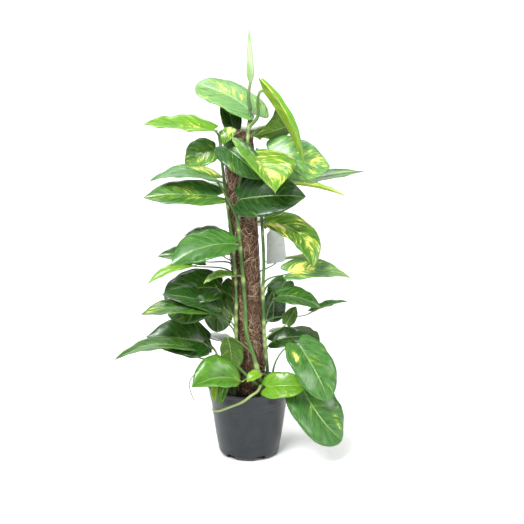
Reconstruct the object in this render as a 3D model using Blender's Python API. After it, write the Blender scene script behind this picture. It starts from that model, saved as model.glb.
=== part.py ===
"""A golden pothos on a leaning coir pole, growing in a round nursery pot.

The origin is on the pot's axis at its underside, +Z is up and -Y is the front.
Sizes are in millimetres here and become metres where a mesh is made.
"""

import math
import random
from collections import namedtuple

import bmesh
import bpy
from mathutils import Vector, noise

MM = 0.001
GAP = 0.3

# Pot
POT_HEIGHT = 125.0
POT_RIM_RADIUS = 72.5
POT_BASE_RADIUS = 54.0
POT_FLAT_RADIUS = 45.0
POT_WALL = 1.9
POT_SIDES = 32
NOTCH_COUNT = 6
NOTCH_HEIGHT = 8.0
NOTCH_ANGLE = 21.0
NOTCH_REACH = 12.0
FRONT_FOOT_ANGLE = -96.0
# The outside of the pot as radius and height, from the rounded foot to under the rim:
# the wall widens to the collar, which steps out and flares a little more
POT_OUTSIDE = (
    (50.4, 2.6), (53.4, 7.5), (54.4, 14.0), (58.0, 34.0), (64.4, 80.0), (66.0, 95.5), (67.0, 97.0),
    (71.3, 121.0),
)
POT_INSIDE = (
    (69.4, 121.0), (65.1, 97.0), (62.5, 80.0), (56.1, 34.0), (52.5, 14.0), (48.7, 5.4),
)

# Soil
SOIL_TOP = 111.0
SOIL_SIDES = 24
CRUMB_RELIEF = 1.2
SOIL_OUTSIDE = (
    (38.0, 2.2), (43.4, 12.0), (51.5, 22.0), (55.0, 36.0), (61.4, 82.0), (64.6, 107.0), (42.1, 110.0),
    (23.1, 112.5),
)

# Pole
POLE_FOOT_Z = 14.0
POLE_TOP_Z = 564.0
POLE_X_AT_SOIL = 6.0
POLE_X_AT_TOP = -17.0
STAKE_RADIUS = 11.0
STAKE_SHORT_OF_TOP = 12.0
COIR_RADIUS = 25.0
COIR_BOTTOM_Z = 92.0
COIR_RELIEF = 0.9
COIR_SIDES = 14
COIR_RINGS = 24

# Stems and leaves
STEM_FROM_POLE = 30.5
LEAF_THICKNESS = 0.8
PETIOLE_RADIUS = 1.7
PETIOLE_SINK = 0.04
TUBE_STEP = 34.0
PETIOLE_STEPS = 4

# Care tag: its outline as x and z, and the tongue at the end of its strap that is
# pushed into a slit in the coir
TAG_THICKNESS = 0.9
TAG_BACK_Y = 33.0
TAG_OUTLINE = (
    (31, 331), (62, 336), (65, 346), (62, 378), (55, 386), (46, 389), (41, 393), (39, 408), (33, 408),
    (36, 391), (31, 384),
)
TONGUE_START = (36.5, 33.6, 404.0)
TONGUE_END = (5.0, 10.0, 404.0)
TONGUE_WIDTH = 6.0

Leaf = namedtuple(
    "Leaf",
    "stem node_z base tip width face arch fold sweep twist rows via heart full",
    defaults=(8, 12, 0, 0, 6, (), 1.0, 0.0),
)


def clear_scene():
    for old in list(bpy.data.objects):
        bpy.data.objects.remove(old)


def material(name, colour, roughness):
    finish = bpy.data.materials.new(name)
    finish.use_nodes = True
    shader = finish.node_tree.nodes["Principled BSDF"]
    shader.inputs["Base Color"].default_value = (*colour, 1.0)
    shader.inputs["Roughness"].default_value = roughness
    shader.inputs["Metallic"].default_value = 0.0
    finish.diffuse_color = (*colour, 1.0)
    return finish


def object_from(name, mesh_data):
    obj = bpy.data.objects.new(name, mesh_data)
    bpy.context.collection.objects.link(obj)
    return obj


def object_from_bmesh(name, shape):
    bmesh.ops.recalc_face_normals(shape, faces=shape.faces)
    bmesh.ops.scale(shape, vec=(MM, MM, MM), verts=shape.verts)
    mesh_data = bpy.data.meshes.new(name)
    shape.to_mesh(mesh_data)
    shape.free()
    return object_from(name, mesh_data)


def apply_modifiers(obj):
    """Keeps the evaluated mesh, so that the guides and cutters can be removed."""
    graph = bpy.context.evaluated_depsgraph_get()
    finished = bpy.data.meshes.new_from_object(obj.evaluated_get(graph))
    obj.modifiers.clear()
    obj.data = finished


def boolean(obj, others, operation):
    """Joins or cuts with a collection of objects, which are then removed."""
    group = bpy.data.collections.new(obj.name + "_pieces")
    bpy.context.scene.collection.children.link(group)
    for other in others:
        group.objects.link(other)
        bpy.context.collection.objects.unlink(other)
    step = obj.modifiers.new(operation.lower(), "BOOLEAN")
    step.operation = operation
    step.operand_type = "COLLECTION"
    step.collection = group
    step.solver = "EXACT"
    apply_modifiers(obj)
    for other in others:
        bpy.data.objects.remove(other)
    bpy.data.collections.remove(group)


def turned(name, profile, sides, relief=None):
    """A closed solid turned from (radius, height) points that start and end on the axis."""
    shape = bmesh.new()
    rings = []
    for row, (radius, height) in enumerate(profile):
        if radius == 0.0:
            rings.append([shape.verts.new((0.0, 0.0, height))])
            continue
        ring = []
        for step in range(sides):
            angle = math.tau * step / sides
            out = radius + (relief(row, angle) if relief else 0.0)
            ring.append(shape.verts.new((out * math.cos(angle), out * math.sin(angle), height)))
        rings.append(ring)
    for lower, upper in zip(rings, rings[1:]):
        for step in range(sides):
            after = (step + 1) % sides
            corners = [lower[step % len(lower)], lower[after % len(lower)]]
            corners += [upper[after % len(upper)], upper[step % len(upper)]]
            shape.faces.new(list(dict.fromkeys(corners)))
    return object_from_bmesh(name, shape)


def pole_axis(height):
    """The centre line of the leaning pole."""
    share = (height - SOIL_TOP) / (POLE_TOP_Z - SOIL_TOP)
    return Vector((POLE_X_AT_SOIL + (POLE_X_AT_TOP - POLE_X_AT_SOIL) * share, 0.0, height))


def beside_pole(height, angle, away=STEM_FROM_POLE):
    """A point at a height, at an angle round the pole (0 right, -90 front), away from its axis."""
    turn = math.radians(angle)
    return pole_axis(height) + Vector((math.cos(turn), math.sin(turn), 0.0)) * away


def smooth_route(points, step):
    """Points read from a Catmull-Rom curve through the given ones."""
    points = [Vector(point) for point in points]
    ends = [points[0] * 2 - points[1]] + points + [points[-1] * 2 - points[-2]]
    route = []
    for before, start, end, after in zip(ends, ends[1:], ends[2:], ends[3:]):
        count = max(1, round((end - start).length / step))
        for index in range(count):
            t = index / count
            route.append(
                0.5
                * (
                    2 * start
                    + (end - before) * t
                    + (2 * before - 5 * start + 4 * end - after) * t * t
                    + (3 * start - before - 3 * end + after) * t**3
                )
            )
    return route + [points[-1]]


def tube(name, route, radii, resolution):
    """A round stem along a route: a curve with a bevel, its ends filled, made a mesh."""
    curve = bpy.data.curves.new(name, "CURVE")
    curve.dimensions = "3D"
    curve.bevel_depth = MM
    curve.bevel_resolution = resolution
    curve.use_fill_caps = True
    spline = curve.splines.new("POLY")
    spline.points.add(len(route) - 1)
    for point, place, radius in zip(spline.points, route, radii):
        point.co = (*(Vector(place) * MM), 1.0)
        point.radius = radius
    guide = object_from(name + "_guide", curve)
    graph = bpy.context.evaluated_depsgraph_get()
    mesh_data = bpy.data.meshes.new_from_object(guide.evaluated_get(graph))
    bpy.data.objects.remove(guide)
    shape = bmesh.new()
    shape.from_mesh(mesh_data)
    bmesh.ops.remove_doubles(shape, verts=shape.verts, dist=0.00001)
    bmesh.ops.recalc_face_normals(shape, faces=shape.faces)
    shape.to_mesh(mesh_data)
    shape.free()
    return object_from(name, mesh_data)


def tapered(start, end, count):
    return [start + (end - start) * index / (count - 1) for index in range(count)]


# The blade: a heart with a drawn-out tip. Its rows run from the notch to the tip.
WIDEST_AT = 0.26
LOBE_BACK = 0.13
ROW_PLACES = {
    6: (0.0, 0.12, 0.3, 0.5, 0.7, 0.88, 1.0),
    5: (0.0, 0.15, 0.38, 0.62, 0.84, 1.0),
}
ACROSS = {6: (-1.0, -0.5, 0.0, 0.5, 1.0), 5: (-1.0, 0.0, 1.0)}
STALK_ROUNDNESS = {6: 1, 5: 0}


def half_width(leaf, t):
    """Half the blade's width at a place along the midrib, as a share of the widest half."""
    widest_at = WIDEST_AT + 0.16 * (1.0 - leaf.heart)
    if t < widest_at:
        start = 0.27 + 0.35 * leaf.heart
        return start + (1.0 - start) * math.sin(0.5 * math.pi * t / widest_at)
    past = (t - widest_at) / (1.0 - widest_at)
    rounded = (1.0 - past ** (2.3 + 1.5 * leaf.full)) ** (1.0 - 0.4 * leaf.full)
    return rounded * (1.0 - 0.35 * (1.0 - leaf.full) * past**6)


def lobe_back(leaf, t, across):
    """How far the lobes beside the stalk reach back past the notch, as a share of the length."""
    return LOBE_BACK * leaf.heart * math.sin(0.75 * math.pi * abs(across)) * (1.0 - t) ** 3


def blade_frame(leaf, t):
    """A point of the midrib and the blade's directions there: along it, to its side, out of its face."""
    chord = Vector(leaf.tip) - Vector(leaf.base)
    along = chord.normalized()
    face = Vector(leaf.face)
    face = (face - along * face.dot(along)).normalized()
    bowed = face * leaf.arch + face.cross(along) * leaf.sweep
    middle = Vector(leaf.base) + chord * t + bowed * (4.0 * t * (1.0 - t))
    heading = (chord + bowed * (4.0 - 8.0 * t)).normalized()
    side = face.cross(heading).normalized()
    return middle, heading, side, heading.cross(side)


def blade_point(leaf, t, across):
    """A point of the blade: across runs from -1 at one edge over 0 at the midrib to 1."""
    middle, heading, side, face = blade_frame(leaf, t)
    length = (Vector(leaf.tip) - Vector(leaf.base)).length
    reach = half_width(leaf, t) * 0.5 * leaf.width * across
    lift = math.radians(leaf.fold)
    turn = math.radians(leaf.twist) * (t - 0.3)
    turned_side = side * math.cos(turn) + face * math.sin(turn)
    turned_face = face * math.cos(turn) - side * math.sin(turn)
    place = middle - heading * (length * lobe_back(leaf, t, across))
    return place + turned_side * (reach * math.cos(lift)) + turned_face * (abs(reach) * math.sin(lift))


def blade(name, leaf):
    """The blade as a closed sheet, split into triangles before it gets its thickness."""
    shape = bmesh.new()
    places = ROW_PLACES[leaf.rows]
    columns = ACROSS[leaf.rows]
    rows = []
    for t in places[:-1]:
        rows.append([shape.verts.new(blade_point(leaf, t, across)) for across in columns])
    tip = shape.verts.new(blade_point(leaf, 1.0, 0.0))
    for near, far in zip(rows, rows[1:]):
        for index in range(len(columns) - 1):
            left, right = near[index], near[index + 1]
            far_left, far_right = far[index], far[index + 1]
            if columns[index] < 0.0:
                shape.faces.new((left, right, far_left))
                shape.faces.new((right, far_right, far_left))
            else:
                shape.faces.new((left, right, far_right))
                shape.faces.new((left, far_right, far_left))
    for index in range(len(columns) - 1):
        shape.faces.new((rows[-1][index], rows[-1][index + 1], tip))
    obj = object_from_bmesh(name, shape)
    wall = obj.modifiers.new("thickness", "SOLIDIFY")
    wall.thickness = LEAF_THICKNESS * MM
    wall.offset = 0.0
    apply_modifiers(obj)
    return obj


def petiole(name, leaf, start):
    """The leaf stalk: it leaves the stem upwards and comes to the blade from behind and below."""
    base, heading, _, face = blade_frame(leaf, 0.0)
    inside = blade_point(leaf, PETIOLE_SINK, 0.0)
    if leaf.via:
        route = smooth_route([start, *leaf.via, base, inside], TUBE_STEP)
    else:
        span = (base - start).length
        rise = start + Vector((0.0, 0.0, 0.45 * span))
        arrive = base - (heading * 0.3 + face * 0.15) * span
        route = []
        for index in range(PETIOLE_STEPS + 1):
            t = index / PETIOLE_STEPS
            u = 1.0 - t
            route.append(
                start * u**3 + rise * (3 * u * u * t) + arrive * (3 * u * t * t) + base * t**3
            )
        route.append(inside)
    radii = tapered(PETIOLE_RADIUS * 1.25, PETIOLE_RADIUS * 0.75, len(route))
    return tube(name, route, radii, STALK_ROUNDNESS[leaf.rows])


def rolled_leaf():
    """The newest leaf, still rolled round itself on its own stalk at the top of the front vine."""
    stalk = smooth_route(ROLLED_STALK, TUBE_STEP)
    base, tip = Vector(ROLLED_STALK[-1]), Vector(ROLLED_TIP)
    roll = [base + (tip - base) * share for share, radius in ROLLED_SHAPE]
    radii = [radius for share, radius in ROLLED_SHAPE]
    return [
        tube("rolled_stalk", stalk, tapered(1.9, 1.5, len(stalk)), 1),
        tube("rolled_blade", roll, radii, 2),
    ]


def stem_place(route, height):
    """The point of a stem's route at a height."""
    for lower, upper in zip(route, route[1:]):
        if lower.z <= height <= upper.z:
            share = (height - lower.z) / (upper.z - lower.z)
            return lower + (upper - lower) * share
    return min(route, key=lambda point: abs(point.z - height))


# Stems, from the soil upwards: heights, angles round the pole and the odd free point
FRONT_STEM = (
    (24, -44, 84), (24, -45, 108), (23, -44, 131), (11, -39, 179), (3, -33, 203), (-4, -31.5, 231),
    beside_pole(283, -96), beside_pole(349, -100), beside_pole(416, -103), beside_pole(480, -92),
    beside_pole(530, -66), beside_pole(566, -45, 25), (4, -6, 600),
)
RIGHT_STEM = (
    (34, -12, 84), (34, -13, 112), (32, -15, 160), (27, -17, 215), beside_pole(260, -32, 32),
    beside_pole(300, -32, 33), beside_pole(346, -27, 36), beside_pole(421, -27, 36), beside_pole(480, -12),
    beside_pole(535, 8),
)
LEFT_STEM = (
    (-24, -20, 84), (-25, -21, 112), beside_pole(160, -142), beside_pole(228, -134),
    beside_pole(281, -126), beside_pole(350, -124), beside_pole(410, -132), beside_pole(470, -150),
    beside_pole(530, -165), beside_pole(558, -175, 31),
)
BACK_STEM = (
    (2, 42, 84), (2, 41, 112), beside_pole(170, 95, 32), beside_pole(260, 80), beside_pole(350, 100),
    beside_pole(440, 85), beside_pole(520, 100), beside_pole(545, 108),
)
LEFT_SHOOT = (
    (-42, 2, 84), (-42, 1, 112), (-46, -2, 140), (-52, -8, 165), (-56, -12, 182),
)
RIGHT_SHOOT = (
    (40, -34, 84), (40, -34, 112), (37, -33, 136), (42, -33, 152),
)

STEMS = {
    "front_vine": (FRONT_STEM, 3.8, 2.6),
    "right_vine": (RIGHT_STEM, 3.2, 2.4),
    "left_vine": (LEFT_STEM, 3.2, 2.4),
    "back_vine": (BACK_STEM, 3.2, 2.4),
    "left_shoot": (LEFT_SHOOT, 2.8, 2.2),
    "right_shoot": (RIGHT_SHOOT, 2.8, 2.2),
}

# The rolled leaf: its stalk, its tip and its radius along the roll
ROLLED_STALK = ((4, -8, 598), (1, -5, 622), (4, -2, 644))
ROLLED_TIP = (2, -2, 728)
ROLLED_SHAPE = ((-0.04, 1.2), (0.05, 4.5), (0.13, 6.8), (0.3, 6.4), (0.55, 5.0), (0.8, 2.8), (1.0, 0.6))

# Side shoots, runners and roots that grow from a stem: its node, the route and the radii
SIDE_STEMS = {
    "front_side_shoot": ("front_vine", ((23, -44, 131), (10, -50, 144), (-18, -46, 170)), 3.2, 2.4),
    "front_runner": (
        "front_vine",
        (
            (24, -44, 133), (21, -52, 139), (16, -66, 134), (4, -76.5, 129), (-10, -81, 120),
            (-31, -78, 110), (-51, -70, 100), (-61, -61, 99),
        ),
        2.4, 1.9,
    ),
    "aerial_root": (
        "left_shoot",
        (
            (-52, -8, 165), (-72, -30, 168), (-91, -46, 157), (-100, -50, 144), (-99, -50, 129),
            (-93, -50, 112),
        ),
        1.1, 0.7,
    ),
}

# Every leaf: its stem and the height of its node there, where the blade joins its stalk, the
# tip, the width, the way the upper face looks, and its arch, fold, sweep and twist
LEAVES = {
    "crown_left": Leaf(
        "front_vine", 572, (8, 2, 592), (-89, 50, 639), 94, (0.2, -0.38, 0.9), 5, 2, -8, -14, full=1,
    ),
    "crown_right": Leaf(
        "front_vine", 572, (25, -14, 630), (91, -44, 513), 52, (0.75, -0.22, 0.6), 5, 48, 0, 0, 6,
        ((16, -13, 588), (16, -14, 612), (19, -14, 627)), heart=1.1,
    ),
    "crown_back_right": Leaf(
        "front_vine", 555, (74, 20, 574), (8, -14, 555), 72, (-0.1, 0.8, 0.5), 4, 20, -4, 0, 6,
        ((22, 4, 566), (50, 22, 574)), heart=0.4, full=-1,
    ),
    "crown_front": Leaf(
        "front_vine", 505, (7, -46, 531), (44, -120, 475), 132, (0.5, -0.4, 0.77), 8, 22, 0, 20, full=-0.4,
    ),
    "upper_left_pale": Leaf(
        "left_vine", 535, (-57, -14, 567), (-172, -28, 576), 50, (0, -0.5, 0.85), 2, 25, heart=0.5,
    ),
    "upper_back_left": Leaf(
        "left_vine", 556, (-26, 34, 566), (-42, 66, 616), 36, (0.1, -0.8, 0.6), 8, 12, 0, 0, 5,
    ),
    "upper_small_left": Leaf(
        "left_vine", 548, (-24, -46, 570), (-40, -56, 545), 24, (-0.3, -0.85, 0.4), 5, 8, 0, 0, 5, heart=0.6,
    ),
    "upper_right": Leaf(
        "right_vine", 505, (36, 8, 527), (137, 0, 505), 80, (0.1, -0.85, 0.5), 6, 6, -6, full=0.4,
    ),
    "upper_left_heart": Leaf(
        "left_vine", 520, (-57, 14, 532), (-106, 14, 503), 60, (-0.3, -0.75, 0.55), heart=0.8, full=0.3,
    ),
    "upper_front_dark": Leaf(
        "front_vine", 500, (-38, -40, 541), (24, -58, 490), 54, (-0.25, -0.75, 0.6), full=0.3,
    ),
    "upper_right_narrow": Leaf(
        "right_vine", 455, (67, 28, 471), (199, 38, 493), 50, (0.1, -0.25, 0.95), 2, 15, heart=0.5,
    ),
    "upper_right_lime": Leaf(
        "right_vine", 462, (60, -14, 478), (161, -30, 459), 36, (0.1, -0.05, 0.99), 5, 25, heart=0.4,
    ),
    "middle_front_dark": Leaf(
        "front_vine", 425, (-10, -41, 456), (94, -66, 463), 80, (0.05, -0.85, 0.5), 8, full=0.2,
    ),
    "upper_left_grey": Leaf(
        "front_vine", 405, (-54, -40, 490), (-160, -48, 486), 56, (0, -0.3, 0.95), 12, 10, 0, 0, 6,
        ((-21, -38, 430), (-41, -42, 470)),
    ),
    "upper_left_long": Leaf(
        "left_vine", 440, (-52, -44, 461), (-169, -58, 460), 60, (0, -0.6, 0.8), 6, full=0.3,
    ),
    "middle_right_arched": Leaf(
        "right_vine", 395, (32, -28, 416), (107, -56, 345), 56, (0.2, -0.6, 0.75), 10, 12, 22,
        heart=0.4, full=0.4,
    ),
    "middle_left": Leaf(
        "front_vine", 372, (-22, -52, 383), (-124, -78, 352), 72, (-0.1, -0.6, 0.8), 8, 12, -8,
        heart=0.4, full=0.2,
    ),
    "middle_left_back": Leaf(
        "left_vine", 366, (-44, 8, 385), (-112, 16, 384), 52, (0, -0.15, 1), 8, 12, 0, 0, 6,
        ((-40, -16, 376),),
    ),
    "middle_left_far": Leaf(
        "left_vine", 330, (-82, 12, 344), (-156, 0, 352), 40, (0, -0.6, 0.8), 8, 12, 0, 0, 5,
    ),
    "middle_left_lime": Leaf(
        "left_vine", 312, (-99, -8, 338), (-171, -28, 309), 26, (-0.3, -0.5, 0.8), 8, 20, 0, 0, 5,
    ),
    "low_left_broad": Leaf(
        "left_vine", 270, (-56, -6, 298), (-138, -24, 272), 80, (-0.1, -0.6, 0.8), 8, 12, -8, full=0.8,
    ),
    "low_left_upper": Leaf(
        "left_vine", 218, (-54, -26, 268), (-144, -46, 296), 50, (0, -0.5, 0.85), full=0.3,
    ),
    "low_left_pointed": Leaf(
        "left_vine", 205, (-72, -40, 270), (-178, -60, 265), 48, (0, -0.35, 0.9), 10, 8, full=0.3,
    ),
    "low_left_hanging": Leaf(
        "left_vine", 228, (-66, 14, 279), (-140, 4, 246), 72, (-0.2, -0.9, 0.35), full=0.6,
    ),
    "low_left_olive": Leaf(
        "left_vine", 248, (-48, 34, 296), (-57, 30, 209), 56, (0, -1, 0.2), 8, 12, 0, 0, 6,
        ((-42, -12, 266), (-48, 14, 286)), full=0.8,
    ),
    "low_front_curl": Leaf(
        "front_vine", 318, (-30, -46, 329), (-74, -60, 317), 26, (0, -0.3, 0.95), 6, 25, 0, 0, 5,
    ),
    "rim_front_bright": Leaf(
        "front_vine", 160, (-12, -62, 150), (-92, -104, 154), 84, (0.1, -0.6, 0.78), 12, 35, -4, 20,
        heart=-0.4,
    ),
    "rim_front_folded": Leaf(
        "front_vine", 170, (-34, -40, 218), (-27, -50, 160), 42, (0.2, 0.9, 0.3), 6, heart=0.3, full=0.3,
    ),
    "rim_right_olive": Leaf("right_shoot", 140, (30, -58, 138), (98, -66, 142), 47, (0, -0.8, 0.6), full=0.5),
    "rim_small": Leaf(
        "right_shoot", 136, (18, -53, 161), (-3, -62, 148), 22, (-0.1, -0.5, 0.85), 4, 10, 0, 0, 5,
    ),
    "low_right_heart": Leaf(
        "right_shoot", 150, (85, -50, 209), (134, -82, 122), 74, (0.25, -0.75, 0.55), 10, 8, full=0.6,
    ),
    "low_right_hanging": Leaf(
        "right_shoot", 146, (89, -34, 136), (160, -56, 41), 90, (0.25, -0.75, 0.6), 10, 12, -12, full=0.7,
    ),
    "low_right_back": Leaf(
        "right_vine", 180, (42, 14, 197), (109, 22, 201), 44, (0, -0.6, 0.8), 8, 12, 0, 0, 5,
    ),
    "low_right_small": Leaf(
        "right_vine", 200, (66, 0, 234), (82, 2, 264), 24, (0.3, 0.8, 0.3), 4, 10, 0, 0, 5,
    ),
    "lower_right_fold": Leaf("right_vine", 212, (52, -24, 288), (124, -32, 268), 46, (0, -0.5, 0.9), 10),
    "lower_right_far": Leaf(
        "right_vine", 225, (112, 24, 250), (173, 20, 268), 22, (0, -0.3, 0.95), 4, 20, 0, 0, 5,
    ),
    "lower_right_olive": Leaf("right_vine", 285, (64, 32, 301), (42, 50, 262), 48, (0.3, -0.8, 0.5)),
    "lower_right_dark": Leaf(
        "right_vine", 240, (44, 32, 276), (42, 48, 222), 42, (0.1, -0.9, 0.3), 8, 12, 0, 0, 5, full=0.5,
    ),
    "middle_right_patched": Leaf(
        "right_vine", 300, (74, -14, 327), (176, 4, 313), 50, (0, -0.6, 0.8), 8, 20, 4, heart=1.3, full=-0.3,
    ),
    "low_left_tip": Leaf(
        "left_shoot", 168, (-107, -24, 199), (-227, -48, 183), 52, (0, -0.15, 1), 14, 10, 0, 0, 6,
        ((-64, -16, 174), (-86, -20, 178)),
    ),
    "low_left_dark": Leaf("left_shoot", 176, (-80, 4, 197), (-178, -6, 211), 80, (-0.1, -0.65, 0.75)),
    "low_left_inner": Leaf(
        "left_shoot", 172, (-94, 31, 205), (-66, 24, 172), 26, (0.3, -0.8, 0.5), 5, 8, 0, 0, 5,
    ),
    "rim_left_pale": Leaf(
        "left_shoot", 120, (-54, -50, 146), (-57, -66, 112), 15, (-0.3, -0.9, 0.3), 4, 20, 0, 0, 5,
    ),
    "rim_left_olive": Leaf(
        "left_shoot", 124, (-38, -58, 144), (-48, -74, 109), 16, (-0.2, -0.9, 0.3), 4, 20, 0, 0, 5,
    ),
    "back_top": Leaf("back_vine", 530, (-8, 52, 560), (20, 130, 540), 76, (0.1, 0.35, 0.93), 12),
    "back_upper_right": Leaf("back_vine", 470, (28, 60, 500), (96, 128, 480), 74, (0.3, 0.4, 0.85), 12),
    "back_upper_left": Leaf("back_vine", 430, (-48, 56, 462), (-122, 112, 436), 74, (-0.4, 0.4, 0.85), 12),
    "back_middle": Leaf("back_vine", 370, (6, 70, 402), (30, 162, 372), 76, (0.1, 0.5, 0.85), 12),
    "back_middle_left": Leaf("back_vine", 310, (-48, 58, 344), (-116, 124, 322), 72, (-0.4, 0.5, 0.8), 12),
    "back_middle_right": Leaf("back_vine", 290, (50, 64, 330), (128, 116, 306), 72, (0.4, 0.5, 0.8), 12),
    "back_low": Leaf("back_vine", 220, (-4, 66, 256), (-26, 150, 222), 76, (-0.1, 0.5, 0.85), 12),
    "back_low_right": Leaf("back_vine", 170, (54, 72, 198), (132, 112, 164), 72, (0.4, 0.5, 0.8), 12),
    "back_low_left": Leaf("back_vine", 150, (-52, 58, 186), (-124, 110, 158), 72, (-0.4, 0.5, 0.8), 12),
}


def make_pot():
    """The thin-walled shell, with notches cut into its foot."""
    outer = ((0.0, 0.0), (POT_FLAT_RADIUS, 0.0), *POT_OUTSIDE)
    rim = (
        (POT_RIM_RADIUS, POT_HEIGHT - 3.2), (POT_RIM_RADIUS, POT_HEIGHT),
        (POT_RIM_RADIUS - POT_WALL, POT_HEIGHT),
    )
    floor = ((POT_FLAT_RADIUS - 1.0, POT_WALL), (0.0, POT_WALL))
    pot = turned("pot", outer + rim + POT_INSIDE + floor, POT_SIDES)
    cutters = []
    for index in range(NOTCH_COUNT):
        middle = math.radians(FRONT_FOOT_ANGLE + 360.0 * (index + 0.5) / NOTCH_COUNT)
        shape = bmesh.new()
        inside = POT_BASE_RADIUS - NOTCH_REACH
        outside = POT_BASE_RADIUS + 5.0
        half = math.radians(0.5 * NOTCH_ANGLE)
        corners = []
        for radius, angle in ((inside, -half), (outside, -half), (outside, half), (inside, half)):
            turn = middle + angle
            corners.append(shape.verts.new((radius * math.cos(turn), radius * math.sin(turn), -2.0)))
        floor = shape.faces.new(corners)
        raised = bmesh.ops.extrude_face_region(shape, geom=[floor])["geom"]
        lifted = [item for item in raised if isinstance(item, bmesh.types.BMVert)]
        bmesh.ops.translate(shape, vec=(0.0, 0.0, 2.0 + NOTCH_HEIGHT), verts=lifted)
        cutters.append(object_from_bmesh("notch_cutter", shape))
    boolean(pot, cutters, "DIFFERENCE")
    return pot


def make_soil(stem_routes):
    """The filled root ball, with a plain hole for the pole and for every stem."""
    def crumbs(row, angle):
        place = Vector((3.0 * math.cos(angle), 3.0 * math.sin(angle), row))
        return CRUMB_RELIEF * noise.noise(place) if row in (7, 8) else 0.0

    profile = ((0.0, POT_WALL + GAP), *SOIL_OUTSIDE, (0.0, SOIL_TOP + 2.0))
    soil = turned("soil", profile, SOIL_SIDES, crumbs)
    stake_hole = [pole_axis(POLE_FOOT_Z - GAP), pole_axis(200.0)]
    coir_hole = [pole_axis(COIR_BOTTOM_Z - 2.5), pole_axis(200.0)]
    cutters = [
        tube("pole_hole", stake_hole, (STAKE_RADIUS + 0.6,) * 2, 4),
        tube("coir_hole", coir_hole, (COIR_RADIUS + 2.2,) * 2, 5),
    ]
    for name, (route, radius) in stem_routes.items():
        foot = Vector(route[0]) - Vector((0.0, 0.0, GAP))
        inside = [foot] + [point for point in route if point.z > foot.z + 1.0 and point.z < SOIL_TOP + 30.0]
        cutters.append(tube(name + "_hole", inside, (radius + 0.9,) * len(inside), 2))
    boolean(soil, cutters, "DIFFERENCE")
    return soil


def make_stake():
    ends = [pole_axis(POLE_FOOT_Z), pole_axis(POLE_TOP_Z - STAKE_SHORT_OF_TOP)]
    return tube("pole_stake", ends, (STAKE_RADIUS, STAKE_RADIUS), 5)


def make_coir():
    """The sleeve: rough all round, bored from below for the stake and closed on top."""
    rough = random.Random(4)
    shape = bmesh.new()
    rings = []
    for ring in range(COIR_RINGS + 1):
        height = COIR_BOTTOM_Z + (POLE_TOP_Z - COIR_BOTTOM_Z) * ring / COIR_RINGS
        level = []
        for step in range(COIR_SIDES):
            angle = math.tau * step / COIR_SIDES
            out = COIR_RADIUS + rough.uniform(-COIR_RELIEF, COIR_RELIEF)
            if ring == COIR_RINGS:
                out -= 3.0
            sideways = Vector((math.cos(angle), math.sin(angle), 0.0))
            level.append(shape.verts.new(pole_axis(height) + sideways * out))
        rings.append(level)
    for lower, upper in zip(rings, rings[1:]):
        for step in range(COIR_SIDES):
            after = (step + 1) % COIR_SIDES
            shape.faces.new((lower[step], lower[after], upper[after], upper[step]))
    shape.faces.new(reversed(rings[0]))
    shape.faces.new(rings[-1])
    bmesh.ops.triangulate(shape, faces=shape.faces)
    coir = object_from_bmesh("coir_sleeve", shape)
    bore_ends = [pole_axis(COIR_BOTTOM_Z - 20.0), pole_axis(POLE_TOP_Z - STAKE_SHORT_OF_TOP + GAP)]
    bore = tube("stake_bore", bore_ends, (STAKE_RADIUS + GAP,) * 2, 5)
    slit = tongue("tag_slit", GAP)
    boolean(coir, [bore, slit], "DIFFERENCE")
    return coir


def tongue(name, spare):
    """The bar at the end of the tag's strap, or with some spare room the slit it sits in."""
    start, end = Vector(TONGUE_START), Vector(TONGUE_END)
    along = (end - start).normalized()
    across = along.cross(Vector((0.0, 0.0, 1.0))) * (0.5 * TAG_THICKNESS + spare)
    up = Vector((0.0, 0.0, 0.5 * TONGUE_WIDTH + spare))
    shape = bmesh.new()
    ring = [across + up, across - up, -across - up, -across + up]
    near = [shape.verts.new(start + corner) for corner in ring]
    far = [shape.verts.new(end + along * spare + corner) for corner in ring]
    shape.faces.new(near)
    shape.faces.new(reversed(far))
    for index in range(4):
        after = (index + 1) % 4
        shape.faces.new((near[index], far[index], far[after], near[after]))
    return object_from_bmesh(name, shape)


def make_tag():
    """A blank plastic care tag: a plate whose strap ends in a tongue held by the coir."""
    shape = bmesh.new()
    face = shape.faces.new([shape.verts.new((x, TAG_BACK_Y, z)) for x, z in TAG_OUTLINE])
    grown = bmesh.ops.extrude_face_region(shape, geom=[face])["geom"]
    moved = [item for item in grown if isinstance(item, bmesh.types.BMVert)]
    bmesh.ops.translate(shape, vec=(0.0, TAG_THICKNESS, 0.0), verts=moved)
    tag = object_from_bmesh("care_tag", shape)
    boolean(tag, [tongue("tag_tongue", 0.0)], "UNION")
    return tag


def make_plant(name, route, radius):
    """One stem with its side shoots, leaf stalks and blades, all grown into one body."""
    stem_route = [Vector(point) for point in route]
    pieces = []
    for side_name, (owner, points, thick, thin) in SIDE_STEMS.items():
        if owner == name:
            side_route = smooth_route(points, TUBE_STEP)
            pieces.append(tube(side_name, side_route, tapered(thick, thin, len(side_route)), 1))
    for leaf_name, leaf in LEAVES.items():
        if leaf.stem == name:
            start = stem_place(stem_route, leaf.node_z)
            pieces.append(petiole(leaf_name + "_stalk", leaf, start))
            pieces.append(blade(leaf_name + "_blade", leaf))
    if name == "front_vine":
        pieces += rolled_leaf()
    plant = tube(name, stem_route, tapered(radius[0], radius[1], len(stem_route)), 1)
    boolean(plant, pieces, "UNION")
    return plant


def dress(obj, colour, roughness):
    obj.data.materials.clear()
    obj.data.materials.append(material(obj.name, colour, roughness))
    obj.data.shade_smooth()
    obj.data.set_sharp_from_angle(angle=math.radians(35.0))


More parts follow.
